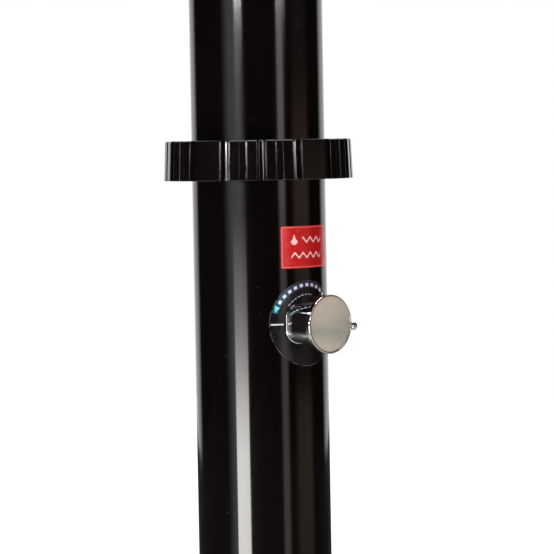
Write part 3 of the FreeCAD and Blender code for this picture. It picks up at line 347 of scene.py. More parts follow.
def roundedOutline(corners, steps=5):
    # each corner (x, y, radius) becomes an arc that touches both of its edges; flat runs stay straight
    spots = []
    count = len(corners)
    for i, (x, y, radius) in enumerate(corners):
        here = np.array([x, y])
        before = np.array(corners[i - 1][:2]) - here
        after = np.array(corners[(i + 1) % count][:2]) - here
        reach = min(np.linalg.norm(before), np.linalg.norm(after)) * rounding["mostReach"]
        before = before / np.linalg.norm(before)
        after = after / np.linalg.norm(after)
        half = math.acos(max(-1, min(1, float(before @ after)))) / 2
        if radius <= 0 or half > rounding["straight"]:
            spots.append(here[None, :])
            continue
        back = min(radius / math.tan(half), reach)
        radius = back * math.tan(half)
        middle = here + (before + after) / np.linalg.norm(before + after) * radius / math.sin(half)
        start = here + before * back - middle
        end = here + after * back - middle
        swing = math.atan2(start[0] * end[1] - start[1] * end[0], float(start @ end))
        turn = np.linspace(0, swing, steps)
        hold = back + (back + min(radius, reach)) * rounding["hold"]
        spots.append((here + before * hold)[None, :])
        spots.append(middle + np.stack([start[0] * np.cos(turn) - start[1] * np.sin(turn),
                                        start[0] * np.sin(turn) + start[1] * np.cos(turn)], axis=-1))
        spots.append((here + after * hold)[None, :])
    return np.concatenate(spots)

def boxOutline(halfX, halfY, corner, steps):
    # rounded rectangle round the origin
    return roundedOutline([(halfX, -halfY, corner), (halfX, halfY, corner), (-halfX, halfY, corner),
                           (-halfX, -halfY, corner)], steps)

def cutFiner(edge, cuts):
    # a closed outline with each of its straight edges cut into equal lengths
    along = np.roll(edge, -1, axis=0) - edge
    share = np.linspace(0, 1, cuts, endpoint=False)
    return (edge[:, None, :] + along[:, None, :] * share[None, :, None]).reshape(-1, 2)

def carried(points, axis):
    # points moved from an axis's own coordinates to the frame's
    rows = np.array(axis)
    return points @ rows[:3, :3].T + rows[:3, 3]

def turnedPoints(radius, height, turn):
    # x = r cos t, y = r sin t, z = h for each t, with r and h as rows of points
    height = np.broadcast_to(height, radius.shape)
    return np.stack([radius * np.cos(turn)[:, None], radius * np.sin(turn)[:, None], height], axis=-1)

onAxis = 0.001 * mm

def turnedPiece(name, outline, steps, axis=Matrix()):
    # outline (r, h) turned about Z: x = r cos t, y = r sin t, z = h, then carried by the axis matrix;
    # points on the axis are welded into one
    t = np.linspace(0, 2 * math.pi, steps, endpoint=False)
    r, h = outline[:, 0], outline[:, 1]
    points = carried(turnedPoints(np.broadcast_to(r, (steps, len(r))), h, t), axis)
    return gridPiece(name, points, closeU=True, closeV=True, weld=bool((r < onAxis).any()))

def finishPiece(piece, body, slot, *replaced):
    # the piece takes its slot's finish, rides with its body and stands in for the nodes that it replaces
    piece.data.materials.clear()
    piece.data.materials.append(finishes[slot])
    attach(piece, body)
    if replaced:
        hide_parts(*replaced)

# finishes

def newFinish(name, **values):
    # a material with its shader's plain inputs set; returns material, node tree and shader
    material = bpy.data.materials.new(name)
    material.use_nodes = True
    tree = material.node_tree
    shader = tree.nodes["Principled BSDF"]
    for socket, value in values.items():
        shader.inputs[socket.replace("_", " ")].default_value = value
    return material, tree, shader

def objectPlace(tree, stretch=(1, 1, 1)):
    # the piece's own coordinates in metres, squeezed along an axis to draw a pattern out
    coords = tree.nodes.new("ShaderNodeTexCoord")
    mapping = tree.nodes.new("ShaderNodeMapping")
    mapping.inputs["Scale"].default_value = stretch
    tree.links.new(coords.outputs["Object"], mapping.inputs["Vector"])
    return mapping.outputs[0]

noiseRoughness = 0.55

def grain(tree, scale, stretch=(1, 1, 1), detail=3.0):
    # smooth noise from 0 to 1, scale lumps to the metre
    noise = plainNode(tree, "ShaderNodeTexNoise", Scale=scale, Detail=detail, Roughness=noiseRoughness)
    tree.links.new(objectPlace(tree, stretch), noise.inputs["Vector"])
    return noise.outputs["Fac"]

def addBump(tree, shader, height, distance, strength):
    # height from 0 to 1 stands for up to distance, in metres
    bump = plainNode(tree, "ShaderNodeBump", Strength=strength, Distance=distance)
    tree.links.new(height, bump.inputs["Height"])
    tree.links.new(bump.outputs[0], shader.inputs["Normal"])

noiseSpan = (0.3, 0.7)      # most of a noise's values lie in this span

def varyColour(tree, shader, factor, dark, light):
    tree.links.new(mixColour(tree, factor, dark, light), shader.inputs["Base Color"])

def varyRoughness(tree, shader, factor, low, high):
    tree.links.new(mapRange(tree, factor, *noiseSpan, low, high), shader.inputs["Roughness"])

tankLook = {
    "dark": (0.0012, 0.0007, 0.0008), "light": (0.0028, 0.0018, 0.0018), "patchScale": 9.0,
    "dust": (0.050, 0.048, 0.047), "dustScale": 420.0, "dustFrom": 0.70, "dustTo": 0.80,
    "cloudScale": 14.0, "cloudFrom": 0.52, "cloudTo": 0.72,
    "roughLow": 0.055, "roughHigh": 0.10, "smearScale": 30.0,
    "drawLines": 900.0, "drawDepth": 0.00002, "drawStrength": 0.5,
}

def tankFinish():
    # glossy extruded tube: faint draw lines along it, a little dust in clouds and a few dull smears
    look = tankLook
    material, tree, shader = newFinish("tankBlack", IOR=1.5)
    patches = grain(tree, look["patchScale"], (1, 1, 0.35))
    clouds = grain(tree, look["cloudScale"], (1, 1, 0.6), detail=4.0)
    specks = grain(tree, look["dustScale"], (1, 1, 0.5), detail=1.0)
    dusty = mathNode(tree, "MULTIPLY", mapRange(tree, specks, look["dustFrom"], look["dustTo"]),
                     mapRange(tree, clouds, look["cloudFrom"], look["cloudTo"]))
    body = mixColour(tree, patches, look["dark"], look["light"])
    varyColour(tree, shader, dusty, body, look["dust"])
    smear = grain(tree, look["smearScale"], (1, 1, 0.08))
    varyRoughness(tree, shader, smear, look["roughLow"], look["roughHigh"])
    lines = grain(tree, look["drawLines"], (1, 1, 0.004), detail=1.0)
    addBump(tree, shader, lines, look["drawDepth"], look["drawStrength"])
    return material

mouldedLook = {"lift": 1.4, "least": 0.001, "patchScale": 25.0, "glossScale": 55.0, "skinStrength": 0.6}

def mouldedFinish(name, colour, roughLow, roughHigh, skinScale, skinDepth):
    # moulded plastic or rubber: a fine skin texture with slow changes in colour and gloss
    look = mouldedLook
    material, tree, shader = newFinish(name, IOR=1.5)
    light = tuple(share * look["lift"] + look["least"] for share in colour)
    varyColour(tree, shader, grain(tree, look["patchScale"]), colour, light)
    varyRoughness(tree, shader, grain(tree, look["glossScale"], detail=4.0), roughLow, roughHigh)
    addBump(tree, shader, grain(tree, skinScale, detail=2.0), skinDepth, look["skinStrength"])
    return material

metalLook = {
    "dim": 0.93, "patchScale": 40.0, "smudgeScale": 70.0,
    "lineScale": 600.0, "lineDepth": 0.000004, "lineStrength": 0.5,
}

def metalFinish(name, colour, roughLow, roughHigh, stretch=(1, 1, 1)):
    # plated or machined metal: smudges in its gloss and fine tool lines, drawn out by stretch
    look = metalLook
    material, tree, shader = newFinish(name, Metallic=1.0)
    dim = tuple(share * look["dim"] for share in colour)
    varyColour(tree, shader, grain(tree, look["patchScale"]), dim, colour)
    varyRoughness(tree, shader, grain(tree, look["smudgeScale"], detail=4.0), roughLow, roughHigh)
    lines = grain(tree, look["lineScale"], stretch, detail=1.0)
    addBump(tree, shader, lines, look["lineDepth"], look["lineStrength"])
    return material

satinLook = {
    "dark": (0.72, 0.76, 0.70), "light": (0.86, 0.90, 0.83), "metal": 0.7,
    "roughLow": 0.09, "roughHigh": 0.15, "blotchScale": 90.0,
    "brushScale": 2600.0, "brushShare": 0.25, "brushDepth": 0.0000012, "brushStrength": 0.4,
}

def satinFinish():
    # satin face: a champagne plate with faint blotches and very fine brushing across it
    look = satinLook
    material, tree, shader = newFinish("satinFace", Metallic=look["metal"])
    brushing = grain(tree, look["brushScale"], (0.03, 1, 1), detail=2.0)
    blotches = grain(tree, look["blotchScale"], (0.6, 1, 1), detail=4.0)
    blotchPart = mathNode(tree, "MULTIPLY", blotches, 1 - look["brushShare"])
    mottle = mathNode(tree, "MULTIPLY_ADD", brushing, look["brushShare"], blotchPart)
    varyColour(tree, shader, mapRange(tree, mottle, *noiseSpan), look["dark"], look["light"])
    varyRoughness(tree, shader, blotches, look["roughLow"], look["roughHigh"])
    addBump(tree, shader, brushing, look["brushDepth"], look["brushStrength"])
    return material

def flatPlace(tree):
    # the piece's own UVs: millimetres from a sticker's middle, or a panel's share across and its height
    place = tree.nodes.new("ShaderNodeUVMap")
    split = tree.nodes.new("ShaderNodeSeparateXYZ")
    tree.links.new(place.outputs[0], split.inputs[0])
    return split.outputs[0], split.outputs[1]

def lengthOf(tree, x, y):
    # sqrt(x^2 + y^2)
    squares = mathNode(tree, "ADD", mathNode(tree, "MULTIPLY", x, x), mathNode(tree, "MULTIPLY", y, y))
    return mathNode(tree, "SQRT", squares)

def inside(tree, value, edge, soft):
    # 1 where value is under edge, falling to 0 over soft
    return mapRange(tree, value, edge + soft, edge - soft)

vinylLook = {
    "wearScale": 120.0, "roughLow": 0.16, "roughHigh": 0.30,
    "skinScale": 500.0, "skinDepth": 0.00001, "skinStrength": 0.5,
}

def vinylWear(tree, shader):
    # scuffed gloss and a slight orange-peel skin, as on printed film
    look = vinylLook
    wear = grain(tree, look["wearScale"], detail=4.0)
    varyRoughness(tree, shader, wear, look["roughLow"], look["roughHigh"])
    skin = grain(tree, look["skinScale"], detail=2.0)
    addBump(tree, shader, skin, look["skinDepth"], look["skinStrength"])

def between(tree, value, low, high, soft):
    # 1 where value lies from low to high, falling to 0 over soft at each end
    far = mathNode(tree, "ABSOLUTE", mathNode(tree, "SUBTRACT", value, (low + high) / 2))
    return inside(tree, far, (high - low) / 2, soft)

def overlap(tree, first, *others):
    # the part that all masks share: their product
    for mask in others:
        first = mathNode(tree, "MULTIPLY", first, mask)
    return first

# lengths on the stickers are in millimetres, as their UVs are
label = {
    "width": 73.0, "height": 47.0, "corner": 2.0, "turn": 2.6, "cornerSteps": 8, "cuts": 12,
    "red": (0.53, 0.006, 0.007), "deepRed": (0.42, 0.004, 0.005), "patchScale": 45.0,
    "keyColour": (0.66, 0.14, 0.13), "keyInset": 1.5, "keyHalf": 0.45,
    "pale": (0.82, 0.52, 0.50), "soft": 0.12,
    "waves": ((8.0, -9.0, 23.0), (-9.0, -24.0, 22.0)),   # height, left end and right end of each
    "waveSwing": 2.3, "waveLength": 11.0, "waveHalf": 1.25,
    "dropX": -20.0, "dropY": 7.0, "dropRadius": 4.4, "dropSoft": 0.2,
    "dropTall": 1.7, "dropTaper": 4.5, "dropDraw": 0.62,
}

def waveInk(tree, x, y, height, left, right):
    # y = height + swing sin(2 pi x / length) from left to right
    swing = mathNode(tree, "SINE", mathNode(tree, "MULTIPLY", x, 2 * math.pi / label["waveLength"]))
    rise = mathNode(tree, "MULTIPLY_ADD", swing, -label["waveSwing"], y)
    offLine = mathNode(tree, "ABSOLUTE", mathNode(tree, "SUBTRACT", rise, height))
    return overlap(tree, inside(tree, offLine, label["waveHalf"], label["soft"]),
                   between(tree, x, left, right, label["soft"]))

def dropInk(tree, x, y):
    # a circle whose upper half is drawn up and narrows towards its tip
    reach = label["dropRadius"] * label["dropTall"]
    aside = mathNode(tree, "SUBTRACT", x, label["dropX"])
    rise = mathNode(tree, "SUBTRACT", y, label["dropY"])
    wide = mathNode(tree, "MULTIPLY", aside, mapRange(tree, rise, 0.0, reach, 1.0, label["dropTaper"]))
    tall = mathNode(tree, "MULTIPLY", rise, mapRange(tree, rise, 0.0, 0.01, 1.0, label["dropDraw"]))
    return inside(tree, lengthOf(tree, wide, tall), label["dropRadius"], label["dropSoft"])

def labelFinish():
    # printed label: red, a pale line where max(|x| - X, |y| - Y) = 0, a drop and two waves
    material, tree, shader = newFinish("redVinyl", IOR=1.46)
    x, y = flatPlace(tree)
    farX = mathNode(tree, "SUBTRACT", mathNode(tree, "ABSOLUTE", x),
                    label["width"] / 2 - label["keyInset"])
    farY = mathNode(tree, "SUBTRACT", mathNode(tree, "ABSOLUTE", y),
                    label["height"] / 2 - label["keyInset"])
    offKey = mathNode(tree, "ABSOLUTE", mathNode(tree, "MAXIMUM", farX, farY))
    ink = dropInk(tree, x, y)
    for height, left, right in label["waves"]:
        ink = mathNode(tree, "MAXIMUM", ink, waveInk(tree, x, y, height, left, right))
    paint = mixColour(tree, grain(tree, label["patchScale"]), label["deepRed"], label["red"])
    key = inside(tree, offKey, label["keyHalf"], label["soft"])
    paint = mixColour(tree, key, paint, label["keyColour"])
    varyColour(tree, shader, ink, paint, label["pale"])
    vinylWear(tree, shader)
    return material

# angles on the dial are in degrees, clockwise from 9 o'clock
dial = {
    "radius": 48.0, "holeGap": 0.5, "soft": 0.14, "softAngle": 0.3, "black": (0.004, 0.004, 0.005),
    "edgeLine": (0.11, 0.11, 0.11), "edgeInset": 0.6, "edgeHalf": 0.25,
    "wornScale": 160.0, "worn": (0.42, 0.56),            # the part of the noise where the line fades out
    "firstBlock": 24.0, "lastBlock": 156.0, "blockStep": 11.0, "blockRadius": 42.8, "blockTall": 1.7,
    "blockHalfAngle": 2.9, "blockSoftAngle": 0.25, "blocksPast": 4.0, "white": (0.62, 0.64, 0.72),
    "cold": (0.01, 0.22, 0.32), "mild": (0.08, 0.05, 0.22), "hot": (0.16, 0.012, 0.012),
    "mildAt": 0.45, "hotAt": 0.95,                       # shares of the way from first to last block
    "bandRadius": 43.2, "bandHalf": 3.4, "bandShare": 0.32, "bandBefore": 7.0, "bandPast": 6.0,
    "bandSoft": 0.3, "bandSoftAngle": 0.4,
    "arrow": (0.16, 0.56, 0.62), "arrowBefore": 6.0, "arrowPast": 3.5, "arrowTip": 0.3, "arrowBase": 3.2,
    # painted reflection: violet dashes that stand for the scale's pale blocks mirrored in the chrome
    # sleeve's foot
    "dashReflectionRadius": 32.2, "dashReflectionHalf": 0.55, "dashReflectionStep": 9.0, "dashReflectionHalfAngle": 3.0, "dashReflectionFrom": 42.0,
    "dashReflectionTo": 104.0, "dashReflectionColour": (0.42, 0.36, 0.55),
    # painted reflection: a red patch that stands for the scale's hot end mirrored in the chrome sleeve
    "redReflectionFrom": 118.0, "redReflectionTo": 150.0, "redReflectionRadius": 31.5, "redReflectionHalf": 2.0,
    "redReflectionSoft": 0.4, "redReflectionSoftAngle": 3.0,
    "markFrom": 31.5, "markTo": 46.0, "markHalf": 0.75,
}

def toNearest(tree, angle, first, step):
    # degrees to the nearest of the marks that repeat every step from first
    return mathNode(tree, "PINGPONG", mathNode(tree, "SUBTRACT", angle, first), step / 2)

def dialFinish():
    # printed scale: pale blocks on a band from cold to hot, an arrow head at its cold end, a mark at 9
    # o'clock and a worn line round the edge; nearer the tap, painted reflection: dashes and a red patch for
    # the scale mirrored in the sleeve
    material, tree, shader = newFinish("dialVinyl", IOR=1.46)
    x, y = flatPlace(tree)
    soft, softAngle = dial["soft"], dial["softAngle"]
    first, last, step = dial["firstBlock"], dial["lastBlock"], dial["blockStep"]
    radius = lengthOf(tree, x, y)
    angle = mathNode(tree, "ARCTAN2", y, mathNode(tree, "MULTIPLY", x, -1.0))
    angle = mathNode(tree, "MULTIPLY", angle, 180 / math.pi)

    def ringOf(middle, half, edge=soft):
        # 1 within half of the middle radius
        return between(tree, radius, middle - half, middle + half, edge)

    share = mapRange(tree, angle, first, last)
    warm = mixColour(tree, mapRange(tree, share, dial["mildAt"], dial["hotAt"]), dial["mild"], dial["hot"])
    scale = mixColour(tree, mapRange(tree, share, 0.0, dial["mildAt"]), dial["cold"], warm)
    band = overlap(tree, ringOf(dial["bandRadius"], dial["bandHalf"], dial["bandSoft"]),
                   between(tree, angle, first - dial["bandBefore"], last + dial["bandPast"],
                           dial["bandSoftAngle"]))
    band = mathNode(tree, "MULTIPLY", band, dial["bandShare"])
    offBlock = toNearest(tree, angle, first + step, step)
    blocks = overlap(tree, inside(tree, offBlock, dial["blockHalfAngle"], dial["blockSoftAngle"]),
                     ringOf(dial["blockRadius"], dial["blockTall"]),
                     between(tree, angle, first + step / 2, last + dial["blocksPast"], softAngle))
    # the arrow's half width grows from its tip to its base
    tip, base = first - dial["arrowBefore"], first + dial["arrowPast"]
    offRing = mathNode(tree, "ABSOLUTE", mathNode(tree, "SUBTRACT", radius, dial["blockRadius"]))
    half = mapRange(tree, angle, tip, base, dial["arrowTip"], dial["arrowBase"])
    past = mathNode(tree, "SUBTRACT", offRing, half)
    arrow = overlap(tree, inside(tree, past, 0.0, soft), between(tree, angle, tip, base, softAngle))
    # painted reflection: dashes standing for the scale's blocks mirrored in the sleeve's chrome foot
    offDashReflection = toNearest(tree, angle, dial["dashReflectionFrom"], dial["dashReflectionStep"])
    dashReflectionStart = dial["dashReflectionFrom"] - dial["dashReflectionHalfAngle"]
    reflectedDashes = overlap(tree, inside(tree, offDashReflection, dial["dashReflectionHalfAngle"], softAngle),
                     ringOf(dial["dashReflectionRadius"], dial["dashReflectionHalf"]),
                     between(tree, angle, dashReflectionStart, dial["dashReflectionTo"], softAngle))
    # painted reflection: the scale's red hot end as mirrored in the chrome sleeve, painted on the dial
    hot = overlap(tree, between(tree, angle, dial["redReflectionFrom"], dial["redReflectionTo"], dial["redReflectionSoftAngle"]),
                  ringOf(dial["redReflectionRadius"], dial["redReflectionHalf"], dial["redReflectionSoft"]))
    mark = overlap(tree, inside(tree, mathNode(tree, "ABSOLUTE", y), dial["markHalf"], soft),
                   between(tree, x, -dial["markTo"], -dial["markFrom"], soft))
    rim = overlap(tree, ringOf(dial["radius"] - dial["edgeInset"], dial["edgeHalf"]),
                  mapRange(tree, grain(tree, dial["wornScale"]), *dial["worn"]))
    paint = dial["black"]
    inks = ((rim, dial["edgeLine"]), (band, scale), (hot, dial["hot"]), (blocks, dial["white"]),
            (arrow, dial["arrow"]), (reflectedDashes, dial["dashReflectionColour"]), (mark, dial["white"]))
    for ink, colour in inks:
        paint = mixColour(tree, ink, paint, colour)
    tree.links.new(paint, shader.inputs["Base Color"])
    vinylWear(tree, shader)
    return material

finishes = {
    "tank_pvc": tankFinish(),
    "nut_plastic": mouldedFinish("nutBlack", (0.0016, 0.0010, 0.0010), 0.05, 0.09, 700.0, 0.000006),
    "foot_plastic": mouldedFinish("footBlack", (0.012, 0.012, 0.013), 0.30, 0.42, 1400.0, 0.00004),
    "pipe_plastic": mouldedFinish("pipeWhite", (0.62, 0.62, 0.58), 0.30, 0.40, 900.0, 0.00002),
    "chrome": metalFinish("chrome", (0.80, 0.80, 0.80), 0.03, 0.08),
    "satin_face": satinFinish(),
    "steel": metalFinish("steel", (0.55, 0.55, 0.54), 0.22, 0.34, (1, 1, 0.03)),
    "brass": metalFinish("brass", (0.72, 0.52, 0.22), 0.20, 0.34, (1, 1, 0.05)),
    "rubber": mouldedFinish("sealRubber", (0.020, 0.020, 0.020), 0.60, 0.75, 1100.0, 0.00004),
    "nozzle_rubber": mouldedFinish("nozzleRubber", (0.16, 0.165, 0.18), 0.50, 0.62, 1600.0, 0.00003),
    "label": labelFinish(),
    "dial": dialFinish(),
    "head_plastic": metalFinish("headChrome", (0.78, 0.79, 0.80), 0.05, 0.11),
}

for part in frame["record"]["subparts"]:
    holder = nodes[part["node"]].data
    holder.materials.clear()
    holder.materials.append(finishes[part["material_slot"]])
print("finishes laid on", len(nodes), "nodes")

# tubes

tubeShape = {"wall": 3.5 * mm, "edge": 0.5 * mm, "sides": 256}

def addTube(name, node):
    # wall outline (r, h) with softened outer corners, turned about the post's axis
    low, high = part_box(node)
    outer = boxRadius(node)
    inner = outer - tubeShape["wall"]
    corners = [(inner, low[2], 0), (outer, low[2], tubeShape["edge"]), (outer, high[2], tubeShape["edge"]),
               (inner, high[2], 0)]
    piece = turnedPiece(name, roundedOutline(corners), tubeShape["sides"])
    finishPiece(piece, "post", "tank_pvc", node)

addTube("lowerTube", "lower_tube")
addTube("upperTube", "upper_tube")
print("tubes made")

# union ring

ring = {
    "lobes": 16, "firstValley": 3.85,        # degrees from +X
    "topRadius": 104.8 * mm, "baseRadius": 106.6 * mm, "bore": 92.4 * mm,
    "valleyDepth": 8.0 * mm, "valleyHalf": 2.35,
    "valleyPower": 4,                        # 2 makes the valley an ellipse, more makes it squarer
    "cornerRound": 1.25 * mm,
    "crownFlat": 0.96,                       # 0 keeps the crowns round, 1 makes them flat
    "dimpleDepth": 0.7 * mm, "dimpleHalf": 2.2, "dimpleSide": 0.55, "plainLobes": (0, 3, 8, 11),
    "topRound": 2.2 * mm, "baseRound": 1.0 * mm,
    "lipGap": 1.2 * mm, "lipRound": 0.6 * mm,
    "cutFrom": 1.5 * mm,                     # the cuts start this far out from the bore
    "cutWhole": 2.5 * mm,                    # and are whole this far in from the top's radius
    "stepsLobe": 148, "countSteps": 2001,
}

def easedStep(value):
    # 0 to 1 with level ends: 3s^2 - 2s^3
    share = np.clip(value, 0, 1)
    return share * share * (3 - 2 * share)

def ringAngles():
    # steps round one lobe, drawn together at the valley's floor and corners and at the dimple's sides by
    # weight exp(-((t - place) / spread)^2), then repeated
    pitch = 360 / ring["lobes"]
    even = np.linspace(-pitch / 2, pitch / 2, ring["countSteps"])
    off = np.abs(even)
    crowded = ((0, 1.2, 3), (ring["valleyHalf"] + 0.2, 0.5, 7), (pitch / 2 - ring["dimpleHalf"], 0.5, 4))
    wanted = 1 + sum(weight * np.exp(-((off - place) / spread) ** 2) for place, spread, weight in crowded)
    total = np.concatenate([[0], np.cumsum((wanted[1:] + wanted[:-1]) / 2)])
    steps = np.interp(np.linspace(0, total[-1], ring["stepsLobe"], endpoint=False), total, even)
    lobes = np.arange(ring["lobes"]) * pitch
    return (lobes[:, None] + steps[None, :]).ravel() + ring["firstValley"]

def addRing():
    # r(t, h) = drafted outline, less a valley D (1 - (t / w)^p)^(1 / p) between lobes, its corners
    # c (1 - sqrt(1 - (1 - s)^2)), the flat of each crown and a shallow dimple in it
    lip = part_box("slip_ring")[1][2]
    lipRadius = boxRadius("upper_tube") + ring["lipGap"]
    outline = roundedOutline([(ring["bore"], nutLow[2], 0),
                              (ring["baseRadius"], nutLow[2], ring["baseRound"]),
                              (ring["topRadius"], nutHigh[2], ring["topRound"]),
                              (lipRadius, nutHigh[2], ring["lipRound"]), (lipRadius, lip, 0),
                              (ring["bore"], lip, 0)])
    r, h = outline[:, 0], outline[:, 1]
    pitch = 360 / ring["lobes"]
    t = ringAngles()
    off = np.abs((t - ring["firstValley"] + pitch / 2) % pitch - pitch / 2)
    crown = pitch / 2 - off
    power = ring["valleyPower"]
    valley = ring["valleyDepth"] * np.clip(1 - (off / ring["valleyHalf"]) ** power, 0, 1) ** (1 / power)
    past = np.clip(np.radians(off - ring["valleyHalf"]) * ring["topRadius"] / ring["cornerRound"], 0, 1)
    corner = ring["cornerRound"] * (1 - np.sqrt(1 - (1 - past) ** 2))
    flat = 1 - np.cos(np.radians(pitch / 2 - ring["valleyHalf"])) / np.cos(np.radians(crown))
    flat = ring["baseRadius"] * ring["crownFlat"] * np.clip(flat, 0, None)
    lobe = np.floor((t - ring["firstValley"]) / pitch) % ring["lobes"]
    side = (crown - ring["dimpleHalf"] + ring["dimpleSide"] / 2) / ring["dimpleSide"]
    dimple = ring["dimpleDepth"] * ~np.isin(lobe, ring["plainLobes"]) * (1 - easedStep(side))
    cut = valley + corner + flat + dimple
    cutStart = ring["bore"] + ring["cutFrom"]
    cutEnd = ring["topRadius"] - ring["cutWhole"]
    outside = np.clip((r - cutStart) / (cutEnd - cutStart), 0, 1)
    radius = r[None, :] - cut[:, None] * outside[None, :]
    piece = gridPiece("unionRing", turnedPoints(radius, h, np.radians(t)), closeU=True, closeV=True)
    finishPiece(piece, "union_nut", "nut_plastic", "union_nut")

addRing()
print("union ring made")

# tap

# the tap's own Z points out of the front, its X to the right of someone facing it
tapAxis = Matrix.Translation((0, 0, tapCentre.z)) @ Matrix.Rotation(math.radians(90), 4, "X")

sleeve = {
    "halfX": 27.5 * mm, "halfZ": 21.5 * mm, "corner": 14.0 * mm, "wall": 2.0 * mm, "edge": 0.8 * mm,
    "saddleGap": 0.45 * mm, "beadRadius": 0.75 * mm,
    "webLow": 87.0 * mm, "webHigh": 89.0 * mm, "webHole": 12.3 * mm,
    "cornerSteps": 12, "cuts": 6, "roundSteps": 11, "wallSteps": 20,
}

def sleeveOutline(grow):
    # rounded oblong moved out by grow, cut finer for the tube's curve
    edge = boxOutline(sleeve["halfX"] + grow, sleeve["halfZ"] + grow, sleeve["corner"] + grow,
                      sleeve["cornerSteps"])
    return cutFiner(edge, sleeve["cuts"])

def addSleeve():
    # rings of the outline from foot to lip and back down inside: a ring (grow, rise, share) stands at
    # f + share (top - f) + rise over the saddle f = sqrt(R^2 - x^2), and a bead runs round the foot
    seat = tubeRadius + sleeve["saddleGap"]
    wall, edge, bead = sleeve["wall"], sleeve["edge"], sleeve["beadRadius"]
    top = -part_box("tap_sleeve")[0][1] - edge
    swell = np.linspace(-math.pi / 2, math.pi / 2, sleeve["roundSteps"])
    turnOver = np.linspace(0, math.pi, sleeve["roundSteps"])[1:]
    upward = np.linspace(0.02, 1, sleeve["wallSteps"])
    downward = np.linspace(0.95, 0, sleeve["wallSteps"])
    rings = [(bead * math.cos(turn), bead * (1 + math.sin(turn)), 0) for turn in swell]
    rings += [(0, 2 * bead * (1 - share), share) for share in upward]
    rings += [(wall / 2 * (math.cos(turn) - 1), edge * math.sin(turn), 1) for turn in turnOver]
    rings += [(-wall, 0, share) for share in downward]
    layers = []
    for grow, rise, share in rings:
        outline = sleeveOutline(grow)
        foot = np.sqrt(seat ** 2 - outline[:, 0] ** 2)
        layers.append(np.column_stack([outline, foot + (top - foot) * share + rise]))
    piece = gridPiece("tapSleeve", carried(np.stack(layers, axis=1), tapAxis), closeU=True, closeV=True)
    finishPiece(piece, "post", "chrome", "tap_sleeve")

def addWeb():
    # flat plate across the sleeve's inside, with a round hole for the valve's neck
    inner = sleeveOutline(-sleeve["wall"])
    angle = np.arctan2(inner[:, 1], inner[:, 0])
    hole = np.stack([np.cos(angle), np.sin(angle)], axis=-1) * sleeve["webHole"]
    low, high = sleeve["webLow"], sleeve["webHigh"]
    sides = [(hole, low), (inner, low), (inner, high), (hole, high)]
    layers = [np.column_stack([spots, np.full(len(spots), height)]) for spots, height in sides]
    plate = gridPiece("sleeveWeb", carried(np.stack(layers, axis=1), tapAxis), closeU=True, closeV=True)
    finishPiece(plate, "post", "chrome")

knob = {
    "radius": 32.8 * mm, "thick": 6.0 * mm, "edge": 1.6 * mm, "backEdge": 1.12 * mm,
    "hubRadius": 12.0 * mm, "hubEdge": 0.5 * mm, "hubBore": 6.0 * mm,
    "faceRadius": 30.4 * mm, "faceDome": 0.95 * mm, "faceBack": 1.1 * mm, "faceGap": 0.05 * mm,
    "seatDeep": 1.2 * mm, "seatEdge": 0.2 * mm,
    "sides": 192, "domeSteps": 48,
}

def addKnob():
    # rim, back and hub as one outline (r, h) turned about the tap's axis
    front = -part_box("knob_disc")[0][1]
    hubBack = -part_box("knob_disc")[1][1]
    back = front - knob["thick"]
    seat = front - knob["seatDeep"]
    seatRadius = knob["faceRadius"] + knob["faceGap"]
    corners = [(knob["hubBore"], hubBack, 0), (knob["hubRadius"], hubBack, knob["hubEdge"]),
               (knob["hubRadius"], back, 0), (knob["radius"], back, knob["backEdge"]),
               (knob["radius"], front, knob["edge"]), (seatRadius, front, knob["seatEdge"]),
               (seatRadius, seat, 0), (knob["hubBore"], seat, 0)]
    piece = turnedPiece("knobDisc", roundedOutline(corners, steps=8), knob["sides"], tapAxis)
    finishPiece(piece, "knob", "chrome", "knob_disc")

def addFace():
    # shallow dome set in the rim, h = front - dome (r / R)^2; the two points of its hidden underside run
    # from the middle outwards
    front = -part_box("knob_disc")[0][1]
    back = front - knob["faceBack"]
    across = np.linspace(0, knob["faceRadius"], knob["domeSteps"])
    dome = np.stack([across, front - knob["faceDome"] * (across / knob["faceRadius"]) ** 2], axis=-1)
    outline = np.concatenate([dome, [[0, back], [knob["faceRadius"], back]]])
    piece = turnedPiece("knobFace", outline, knob["sides"], tapAxis)
    finishPiece(piece, "knob", "satin_face", "knob_face")

lever = {
    "angle": -6.0,      # degrees up from the tap's right
    # the pin's outline from the tap's axis outwards: radius, distance and rounding in millimetres
    "outline": ((0, 24, 0), (1.7, 24, 0.3), (1.7, 33.4, 0), (4.1, 33.4, 0.6), (4.7, 35.0, 0.8),
                (4.7, 40.2, 2.2), (2.0, 41.5, 0.8), (0, 41.5, 0)),
    "sides": 96,
}

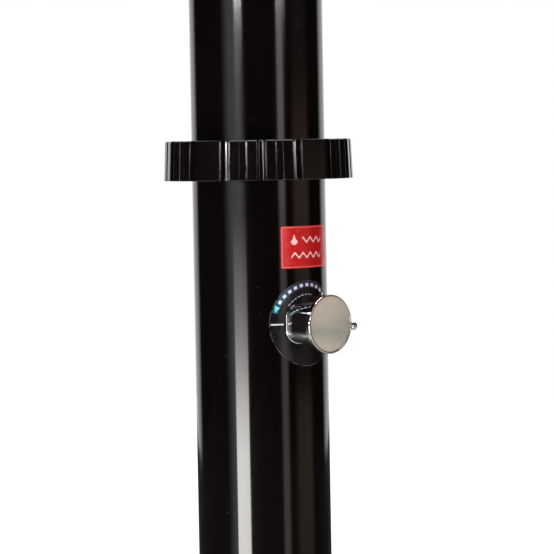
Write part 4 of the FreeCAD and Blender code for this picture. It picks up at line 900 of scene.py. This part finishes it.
def addLever():
    # outline (r, h) turned about the pin's axis, which stands out from the disc's rim at its angle
    depth = -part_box("knob_disc")[0][1] - knob["thick"] / 2
    turn = Matrix.Rotation(math.radians(90 - lever["angle"]), 4, "Y")
    pinAxis = Matrix.Translation((0, -depth, tapCentre.z)) @ turn
    outline = roundedOutline([(r * mm, h * mm, edge * mm) for r, h, edge in lever["outline"]], steps=6)
    finishPiece(turnedPiece("leverPin", outline, lever["sides"], pinAxis), "knob", "chrome", "lever_pin")

addSleeve()
addWeb()
addKnob()
addFace()
addLever()
print("tap made")

# stickers

sticker = {"gap": 0.08 * mm, "thick": 0.25 * mm, "steps": 14}

def stickerShares():
    # steps across the top face and back across the underside, and the lift of each
    across = np.linspace(0, 1, sticker["steps"])
    lift = np.repeat([sticker["thick"], 0.0], sticker["steps"])
    return np.concatenate([across, across[::-1]]), lift

def wrapPoints(x, y, lift, height, turn=0.0):
    # a flat sticker bent round the tube: angle = turn + x / R, so printed lengths stay true
    reach = tubeRadius + sticker["gap"] + lift
    bend = math.radians(turn) + x / tubeRadius
    return np.stack([reach * np.sin(bend), -reach * np.cos(bend), height + y], axis=-1)

def addDial():
    # from the sleeve's outline straight out to the rim on the top face, and back underneath
    inner = sleeveOutline(dial["holeGap"] * mm)
    angle = np.arctan2(inner[:, 1], inner[:, 0])
    rim = np.stack([np.cos(angle), np.sin(angle)], axis=-1) * dial["radius"] * mm
    share, lift = stickerShares()
    flat = inner[:, None, :] + (rim - inner)[:, None, :] * share[None, :, None]
    points = wrapPoints(flat[..., 0], flat[..., 1], lift, tapCentre.z)
    piece = gridPiece("dialSticker", points, closeU=True, closeV=True, uv=flat / mm)
    finishPiece(piece, "post", "dial", "dial_sticker")

def addLabel():
    # rounded rectangle grown from its middle in steps on the top face, and shrunk again underneath
    halfX, halfY, corner = label["width"] / 2 * mm, label["height"] / 2 * mm, label["corner"] * mm
    edge = cutFiner(boxOutline(halfX, halfY, corner, label["cornerSteps"]), label["cuts"])
    share, lift = stickerShares()
    flat = edge[:, None, :] * share[None, :, None]
    points = wrapPoints(flat[..., 0], flat[..., 1], lift, boxCentre("heat_label").z, label["turn"])
    piece = gridPiece("heatLabel", points, closeU=True, uv=flat / mm, weld=True)
    finishPiece(piece, "post", "label", "heat_label")

addDial()
addLabel()
print("stickers made")

# light

addWorld()
for name, panel in panels.items():
    addPanel(name, panel)
addFloor()
addOverhead()
print("lights placed")
